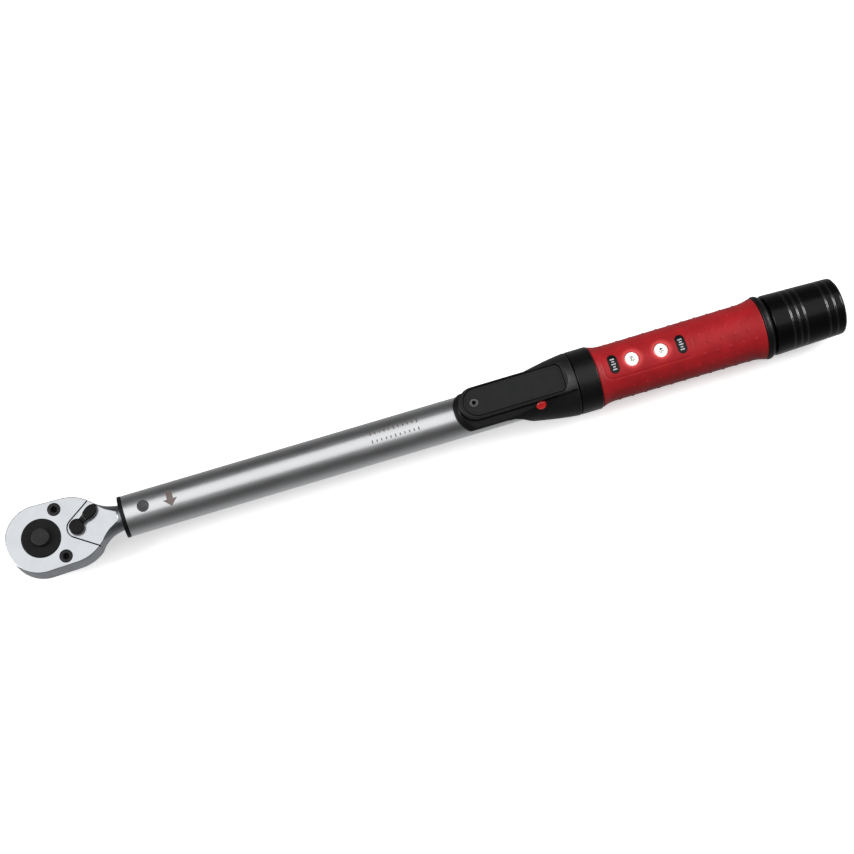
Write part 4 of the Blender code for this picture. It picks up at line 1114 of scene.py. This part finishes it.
def lead_groove():
    return block((LEAD[0] - 2, -LEAD_HALF - 0.4, 10), (LEAD[1] + 0.3, LEAD_HALF + 0.4, 13.3))


def side_cutter():
    start = HOUSING[0]
    corner = SADDLE_CORNER
    edge = arc((start + corner, SADDLE_EDGE_Z + corner), corner, 180, 270, 24)
    slope = bend(SLOPE[0], SLOPE[1], SLOPE[2], 12) + bend(SLOPE[2], SLOPE[3], SLOPE[4], 12)
    bottom = SLOPE[-1][1]
    outline = [(start - 5, SADDLE_EDGE_Z + corner), *edge, SLOPE[0], *slope, (start - 5, bottom)]
    return moved(raised(outline, -FAR, FAR), Matrix.Rotation(math.pi / 2, 4, "X"))


def nose_cutter():
    middle = HOUSING[0] + SADDLE_NOSE_R - SADDLE_NOSE_FLAT
    front = arc((middle, 0), SADDLE_NOSE_R, 90, 270, 40)
    start = HOUSING[0] - 5
    return raised([*front, (middle, -FAR), (start, -FAR), (start, FAR), (middle, FAR)], -FAR, FAR)


def housing():
    start, end = HOUSING
    profile = [(start, 0), (start, SADDLE_R - 0.6), (start + 0.6, SADDLE_R), *FLARE, (end, 19.4), (end, 0)]
    obj = temporary(turned(profile, ROUND))
    combine(obj, shoulders(), "UNION")
    combine(obj, raised(platform_outline(-PLATFORM_LIP), 5, PLATFORM_LIP_Z + 0.5), "UNION")
    combine(obj, slab(platform_outline(), PLATFORM_LIP_Z, PLATFORM_Z, 0.5), "UNION")
    crown = [(start - CLEAR, 0), (start - CLEAR, CROWN[0][1]), *CROWN, (end, 0)]
    combine(obj, turned(crown, ROUND), "INTERSECT")
    combine(obj, side_cutter())
    combine(obj, nose_cutter())
    remesh(obj, 0.36, 4)
    combine(obj, rod(start - CLEAR, end + CLEAR, SEAT_R, ROUND))
    combine(obj, raised(cover_outline(GAP + 0.1), RECESS_Z, PLATFORM_Z + CLEAR))
    combine(obj, raised(bay_outline(), BAY_FLOOR, PLATFORM_Z))
    combine(obj, post(15, PLATFORM_Z, 1.6, (COVER_SCREW_X, 0)))
    bore = SWITCH_BUTTON_R + 0.25
    well = [(SEAT_R + 0.4, 0), (SEAT_R + 0.4, 3.7), (15.9, 3.7), (15.9, bore), (25, bore), (25, 0)]
    combine(obj, moved(turned(well, SMALL_ROUND), switch_turn()))
    combine(obj, lead_groove())
    combine(obj, block((BAY[1] - 4.5, -LEAD_HALF, 13), (BAY[1] - 1.5, LEAD_HALF, BAY_FLOOR + 1)))
    looks = [HOUSING_BLACK, GROOVE_SHADE]
    made = piece("battery_housing", obj, "handle", looks, ["housing"], 38.0, False)
    darken_grooves(made)


def darken_grooves(obj):
    """Paints shade on the walls round the cover and under the platform's lip: their faces take the
    near-black second look.
    """
    centre, half = COVER[0] + COVER_HALF, COVER_HALF + 0.6
    for face in obj.data.polygons:
        x, y, z = middle_of(face)
        in_recess = abs(y) < half if x > centre else math.hypot(x - centre, y) < half
        under_lip = z < PLATFORM_LIP_Z + 0.2 and x < 318 and abs(y) < PLATFORM_HALF - 0.1
        if abs(face.normal.z) < 0.4 and z > SHOULDER_Z[1] - 0.4 and (in_recess or under_lip):
            face.material_index = 1


def battery_cover():
    obj = slab(cover_outline(-0.12), COVER_BOTTOM, PLATFORM_Z, 0.35)
    line = temporary(raised(cover_outline(-1.15), PLATFORM_Z - 0.3, PLATFORM_Z + 1))
    combine(line, raised(cover_outline(-1.5), PLATFORM_Z - 1, PLATFORM_Z + 2))
    combine(obj, line)
    combine(obj, post(COVER_BOTTOM - 1, PLATFORM_Z + 1, 1.7, (COVER_SCREW_X, 0)))
    combine(obj, post(22.0, PLATFORM_Z + 1, 2.9, (COVER_SCREW_X, 0)))
    soften(obj, 0.08, 2)
    piece("battery_lid", obj, "battery_cover", COVER_BLACK, ["battery_cover"])


def battery_cover_screw():
    centre = (COVER_SCREW_X, 0)
    profile = [(16, 0), (16, 1.3), (22.2, 1.3), (22.2, 2.65), (22.95, 2.65), (22.95, 0)]
    obj = temporary(turned(rounded(profile, 0.25), SMALL_ROUND, "Z", centre))
    combine(obj, post(21.5, 24, 1.45, centre, 6))
    soften(obj, 0.08, 2)
    looks = [plain_steel("lid_screw_steel", (0.12, 0.12, 0.123), 0.4), POCKET_SHADE]
    made = piece("lid_screw", obj, "battery_cover", looks, ["battery_cover_screw"])
    darken_socket(made, centre, 1.5)


def light_button():
    low = 15.0
    top = SWITCH_BUTTON_TOP
    wide = SWITCH_BUTTON_R
    profile = [(low, 0), (low, 3.4), (low + 0.6, 3.4), (low + 0.6, wide), (top - 0.9, wide)]
    profile += [(top - 0.25, wide - 0.8), (top, 1.1), (top, 0)]
    shape = moved(turned(rounded(profile, 0.5, 5), SMALL_ROUND), switch_turn())
    piece("light_push_button", shape, "light_button", BUTTON_RED, ["light_button"])


def build_housing():
    housing()
    battery_cover()
    battery_cover_screw()
    light_button()


# ---------------------------------------------------------------- grip


GRIP_OUTER = [(344.8, 19.2), (346.6, 18.5), (349, 17.8), (352, 17.4), (356, 17.3), (404, 17.55)]
GRIP_OUTER += [(441, 17.75), (445.5, 18.1), (448.5, 18.8), (450.8, 19.5)]
GRIP_MEAN_R = 17.5
GRIP_ALONG = 340
GRIP_AROUND = 352
PANEL_CORNER = 5.0
PANEL_GROOVE = (0.45, 0.22)  # half width and depth
WINDOW_RIM = (5.6, 0.9, 0.20)  # radius, half width and height
FACING = 1.2  # the panel and the windows lie within this angle of the top, in radians
DOT_PITCH = 8.35
DOT_FIRST = 352.3
DOT_ROWS = 16
DOT_R = 1.05
DOT_HEIGHT = 0.32


def smooth_step(values):
    values = np.clip(values, 0.0, 1.0)
    return values * values * (3 - 2 * values)


def panel_distance(x, y):
    """Signed distance to the panel's rounded outline, negative inside."""
    middle = (PANEL[0] + PANEL[1]) / 2
    dx = np.abs(x - middle) - ((PANEL[1] - PANEL[0]) / 2 - PANEL_CORNER)
    dy = np.abs(y) - (PANEL_HALF - PANEL_CORNER)
    outside = np.hypot(np.maximum(dx, 0), np.maximum(dy, 0))
    return outside + np.minimum(np.maximum(dx, dy), 0) - PANEL_CORNER


def grip_relief(x, angle):
    """Height over the plain sleeve: the panel's shallow edge, raised window rims and the dots."""
    round_y = GRIP_MEAN_R * angle
    facing = np.abs(angle) < FACING
    half, depth = PANEL_GROOVE
    height = np.where(facing, -depth * np.exp(-((panel_distance(x, round_y) / half) ** 2)), 0.0)
    rim_r, rim_half, rim_height = WINDOW_RIM
    for window in WINDOWS:
        reach = np.hypot(x - window, round_y)
        height += np.where(facing, rim_height * np.exp(-(((reach - rim_r) / rim_half) ** 2)), 0.0)
    for row in range(DOT_ROWS):
        turn = math.pi * 2 * (row + 0.5) / DOT_ROWS - math.pi
        gap = (angle - turn + math.pi) % (2 * math.pi) - math.pi
        shift = 0.5 * DOT_PITCH if row % 2 else 0.0
        nearest = np.round((x - DOT_FIRST - shift) / DOT_PITCH)
        centre = DOT_FIRST + shift + nearest * DOT_PITCH
        allowed = (centre > GRIP[0] + 5) & (centre < GRIP[1] - 5)
        allowed &= ~((panel_distance(centre, GRIP_MEAN_R * turn) < 1.6) & (abs(turn) < FACING))
        reach = np.hypot(x - centre, GRIP_MEAN_R * gap)
        height += np.where(allowed, DOT_HEIGHT * smooth_step(1.25 - reach / DOT_R), 0.0)
    return height


def grip_radii(xs):
    """The plain sleeve's radius along the grip, smoothed so that the profile has no corners."""
    profile = np.array(GRIP_OUTER)
    base = np.interp(xs, profile[:, 0], profile[:, 1])
    kernel = np.hanning(15)
    return np.convolve(np.pad(base, 7, mode="edge"), kernel / kernel.sum(), mode="valid")


def grip_verts():
    """Points of the outside, ring by ring, then one ring of the bore at each end."""
    xs = np.linspace(*GRIP, GRIP_ALONG)
    angles = np.linspace(-math.pi, math.pi, GRIP_AROUND, endpoint=False)
    grid_x, grid_a = np.meshgrid(xs, angles, indexing="ij")
    rim = smooth_step(np.minimum(grid_x - GRIP[0], GRIP[1] - grid_x) / 0.8)
    radius = grip_radii(xs)[:, None] + grip_relief(grid_x, grid_a) * rim - 0.35 * (1 - rim) ** 2
    outer = np.stack([grid_x, radius * np.sin(grid_a), radius * np.cos(grid_a)], axis=-1).reshape(-1, 3)
    inner = [[(x, GRIP_BORE_R * math.sin(a), GRIP_BORE_R * math.cos(a)) for a in angles] for x in GRIP]
    return np.concatenate([outer, np.array(inner).reshape(-1, 3)])


def grip_sleeve():
    """Dense sleeve with its relief in the mesh, pierced by the windows and the label pockets."""
    count = GRIP_ALONG * GRIP_AROUND
    first = count + np.arange(GRIP_AROUND)
    rings = [first, *np.arange(count).reshape(GRIP_ALONG, GRIP_AROUND), first + GRIP_AROUND, first]
    faces = []
    for low, high in zip(rings[:-1], rings[1:]):
        faces += np.stack([low, np.roll(low, -1), np.roll(high, -1), high], axis=-1).tolist()
    mesh = bpy.data.meshes.new("shape")
    mesh.from_pydata(grip_verts().tolist(), [], faces)
    shape = bmesh.new()
    shape.from_mesh(mesh)
    bpy.data.meshes.remove(mesh)
    obj = temporary(shape)
    holes = [post(10, 25, WINDOW_R, (x, 0)) for x in WINDOWS]
    combine(obj, joined(holes))
    for x in LABELS:
        pocket = temporary(raised(oval(x, 0.2), 10, 25))
        combine(pocket, rod(x - 10, x + 10, LABEL_RADII[0] - GAP, ROUND))
        combine(obj, pocket)
    piece("grip_rubber", obj, "handle", RED, ["grip_sleeve"], 45.0, False)


def oval(centre, grow=0.0):
    half_x, half_y = LABEL_HALF
    radius = half_x + grow
    reach = half_y - half_x
    return arc((centre, reach), radius, 0, 180, 24) + arc((centre, -reach), radius, 180, 360, 24)


def unit_label(index, x):
    obj = temporary(raised(oval(x), 10, 25))
    combine(obj, ring(x - 10, x + 10, *LABEL_RADII), "INTERSECT")
    soften(obj, 0.2, 2)
    piece(f"label_{index}", obj, "handle", LABEL_BLACK, [f"unit_label_{index}"])
    bars = []
    for i in range(5):
        start = -3.9 + 1.6 * i
        length, wide = (1.7, 0.7) if i % 2 else (2.6, 0.75)
        outline = box_outline(x - length / 2, x + length / 2, start, start + wide)
        bars.append(wrapped(outline, LABEL_RADII[1]))
    piece(f"label_marks_{index}", joined(bars), "handle", SILVER_PRINT, weigh=False)


def window_lens(index, x):
    low, high = LENS
    profile = [(low, 0), (low, LENS_R), (high - 0.35, LENS_R), (high, LENS_R - 0.9), (high, 0)]
    shape = turned(rounded(profile, 0.3), SMALL_ROUND, "Z", (x, 0))
    piece(f"window_{index}", shape, "handle", WINDOW, [f"window_lens_{index}"])


def window_digits(index, x, number):
    """The number in the window, laid flat on the lens."""
    curve = bpy.data.curves.new("digits", "FONT")
    curve.body = number
    curve.size = 3.5
    curve.offset = 0.05
    curve.extrude = 0.03
    curve.align_x = "CENTER"
    curve.align_y = "CENTER"
    text = linked("digits", curve)
    bpy.context.view_layer.update()
    graph = bpy.context.evaluated_depsgraph_get()
    mesh = bpy.data.meshes.new_from_object(text.evaluated_get(graph))
    bpy.data.objects.remove(text)
    mesh.transform(Matrix.Translation((x, 0, LENS[1])) @ Matrix.Rotation(-math.pi / 2, 4, "Z"))
    obj = linked("digits", mesh)
    piece(f"window_digits_{index}", obj, "handle", DARK_PRINT, weigh=False)


def front_collar():
    start, end = COLLAR
    profile = [(start, SEAT_R), (start, COLLAR_R), (end, COLLAR_R), (end, SEAT_R)]
    obj = temporary(turned(rounded(profile, 0.6, 5), ROUND))
    combine(obj, lead_groove())
    piece("grip_collar", obj, "handle", COLLAR_BLACK, ["front_collar"])


def bumper_ring():
    start, end = BUMPER
    profile = [(start, SEAT_R), (start, BUMPER_R - 0.7), (start + 1.0, BUMPER_R)]
    profile += [(start + 2.4, BUMPER_R - 0.05), (end - 1.0, BUMPER_R - 0.9), (end, BUMPER_R - 2.4)]
    profile.append((end, SEAT_R))
    shape = turned(rounded(profile, 0.7, 5), ROUND)
    piece("grip_bumper", shape, "handle", RUBBER, ["bumper_ring"])


def build_grip():
    front_collar()
    grip_sleeve()
    for i, (x, number) in enumerate(zip(WINDOWS, ("60", "45"))):
        window_lens(i + 1, x)
        window_digits(i + 1, x, number)
    for i, x in enumerate(LABELS):
        unit_label(i + 1, x)
    bumper_ring()


# ---------------------------------------------------------------- knob


def knob_radius(x):
    start, end = KNOB_TAPER
    return KNOB_R + (KNOB_END_R - KNOB_R) * max(0.0, x - start) / (end - start)


def knob_outside():
    """From the mouth over the turned grooves to the rounded end."""
    start, end = KNOB
    mouth = (start, 17.9)
    outer = [mouth, *bend(mouth, (start, KNOB_R), (start + 1.3, KNOB_R), 5)]
    for groove in KNOB_GROOVES:
        for step, share in ((-2, 0.0), (-1, 0.72), (0, 1.0), (1, 0.72), (2, 0.0)):
            x = groove + GROOVE_HALF * step / 2
            outer.append((x, knob_radius(x) - GROOVE_DEPTH * share))
    edge, corner = (500.2, KNOB_END_R), (502.1, 17.0)
    outer += [edge, *bend(edge, (501.6, 17.72), corner, 4)]
    return outer + bend(corner, (502.6, 15.9), (end, 15.6), 4)


def knob_inside():
    """Steps from the end cap's recess over the screw and the shaft back to the mouth."""
    start, end = KNOB
    recess, shaft = CAP_R + GAP, SHAFT_R + GAP
    inner = [(end, recess), (CAP[0] - GAP, recess), (CAP[0] - GAP, 5.0), (493.2, 5.0), (493.2, 2.8)]
    inner += [(SHAFT_END + GAP, 2.8), (SHAFT_END + GAP, shaft), (KNOB_WALL, shaft)]
    return inner + [(KNOB_WALL, 15.3), (LOCK_RING[1] + 0.5, 15.3), (start, 16.6)]


def knob():
    """Glossy knob, whose grooves have their own look."""
    shape = turned(knob_outside() + knob_inside(), KNOB_ROUND)
    made = piece("adjusting_knob", shape, "knob", [KNOB_BLACK, KNOB_GROOVE], ["knob"], 30.0)
    first, last = KNOB_GROOVES[0] - GROOVE_HALF, KNOB_GROOVES[-1] + GROOVE_HALF
    for face in made.data.polygons:
        x, y, z = middle_of(face)
        if first < x < last and 0.08 < knob_radius(x) - math.hypot(y, z) < 0.5:
            face.material_index = 1


def knob_end_cap():
    start, end = CAP
    profile = [(start, 0), (start, CAP_R), (end - 0.9, CAP_R), (end - 0.4, 12.0), (end - 0.4, 11.2)]
    profile += [(end - 0.9, 10.8), (end - 0.9, 10.2), (end - 0.3, 9.6), (end, 6.0), (end, 0)]
    shape = turned(rounded(profile, 0.4), ROUND)
    piece("end_cap", shape, "knob", COLLAR_BLACK, ["knob_end_cap"])


# ---------------------------------------------------------------- stage, light and camera


def floor():
    """Pale floor that touches the drive's tip and the bumper ring."""
    tip = SQUARE / 2
    rest_x = BUMPER[0] + 1.2
    slope = (AXIS_HEIGHT - BUMPER_R) / (rest_x - tip)
    shape = bmesh.new()
    bmesh.ops.create_circle(shape, cap_ends=True, segments=96, radius=FLOOR_R)
    turn = Matrix.Translation((tip * MM, 0, -0.00005)) @ Matrix.Rotation(-math.atan(slope), 4, "Y")
    moved(shape, turn)
    mesh = bpy.data.meshes.new("floor")
    shape.to_mesh(mesh)
    shape.free()
    obj = linked("floor", mesh)
    look = Look("floor_white", (0.90, 0.90, 0.90), 0.0, 0.8, 0.2)
    mesh.materials.append(look.vary(3, 0.005).shine((1, 1, 1), 0.50).material)
    obj.visible_glossy = False
    obj.visible_diffuse = False


def area_light(name, place, target, size, power):
    data = bpy.data.lights.new(name, "AREA")
    data.shape = "RECTANGLE"
    data.size, data.size_y = size
    data.energy = power
    obj = linked(name, data)
    obj.location = place
    obj.rotation_euler = (Vector(target) - Vector(place)).to_track_quat("-Z", "Y").to_euler()


def lights():
    """A large softbox overhead and a panel towards each end."""
    x = 0.238
    power = SOFTBOX_LEVEL * math.pi * SOFTBOX[0] * SOFTBOX[1]
    area_light("softbox", (x, 0.16, 2.2), (x, 0.15, 0), SOFTBOX, power)
    area_light("left_light", (-1.9, 0.2, 1.35), (x, 0.0, 0.03), *SIDE_LIGHT)
    area_light("right_light", (2.4, 0.2, 1.35), (x, 0.0, 0.03), *SIDE_LIGHT)


def backdrop():
    """Grey backdrop, brightest below the horizon and darkest above it."""
    world = bpy.data.worlds.new("studio")
    world.use_nodes = True
    bpy.context.scene.world = world
    nodes, links = world.node_tree.nodes, world.node_tree.links
    place = nodes.new("ShaderNodeTexCoord")
    parts = nodes.new("ShaderNodeSeparateXYZ")
    links.new(place.outputs["Generated"], parts.inputs[0])
    height = nodes.new("ShaderNodeMapRange")
    height.inputs["From Min"].default_value = -1
    links.new(parts.outputs["Z"], height.inputs["Value"])
    ramp = nodes.new("ShaderNodeValToRGB")
    for position, _ in BACKDROP[2:]:
        ramp.color_ramp.elements.new(position)
    for element, (position, value) in zip(ramp.color_ramp.elements, BACKDROP):
        element.position = position
        element.color = (value, value, value, 1)
    links.new(height.outputs["Result"], ramp.inputs["Fac"])
    links.new(ramp.outputs["Color"], nodes["Background"].inputs["Color"])
    bpy.context.scene.view_settings.view_transform = "Standard"


def camera():
    """Looks down on the cover side, leaning towards the light button, with the knob up to the right."""
    roll, lean, tilt = CAMERA_ROLL, CAMERA_LEAN, CAMERA_TILT
    back = Vector((-math.sin(lean), -math.cos(lean) * math.sin(tilt), math.cos(lean) * math.cos(tilt)))
    along = (Vector((1, 0, 0)) - back * back.x).normalized()
    across = back.cross(along)
    right = along * math.cos(roll) - across * math.sin(roll)
    up = along * math.sin(roll) + across * math.cos(roll)
    data = bpy.data.cameras.new("camera")
    data.lens = CAMERA_LENS
    data.sensor_width = 36
    data.clip_start = 0.05
    obj = linked("camera", data)
    turn = Matrix((right, up, back)).transposed().to_4x4()
    target = Vector((CAMERA_X, 0, AXIS_HEIGHT * MM))
    obj.matrix_world = Matrix.Translation(target + back * CAMERA_REACH) @ turn
    bpy.context.scene.camera = obj


dress_frame()
build_head()
build_tube()
build_housing()
build_grip()
knob()
knob_end_cap()
floor()
lights()
backdrop()
camera()
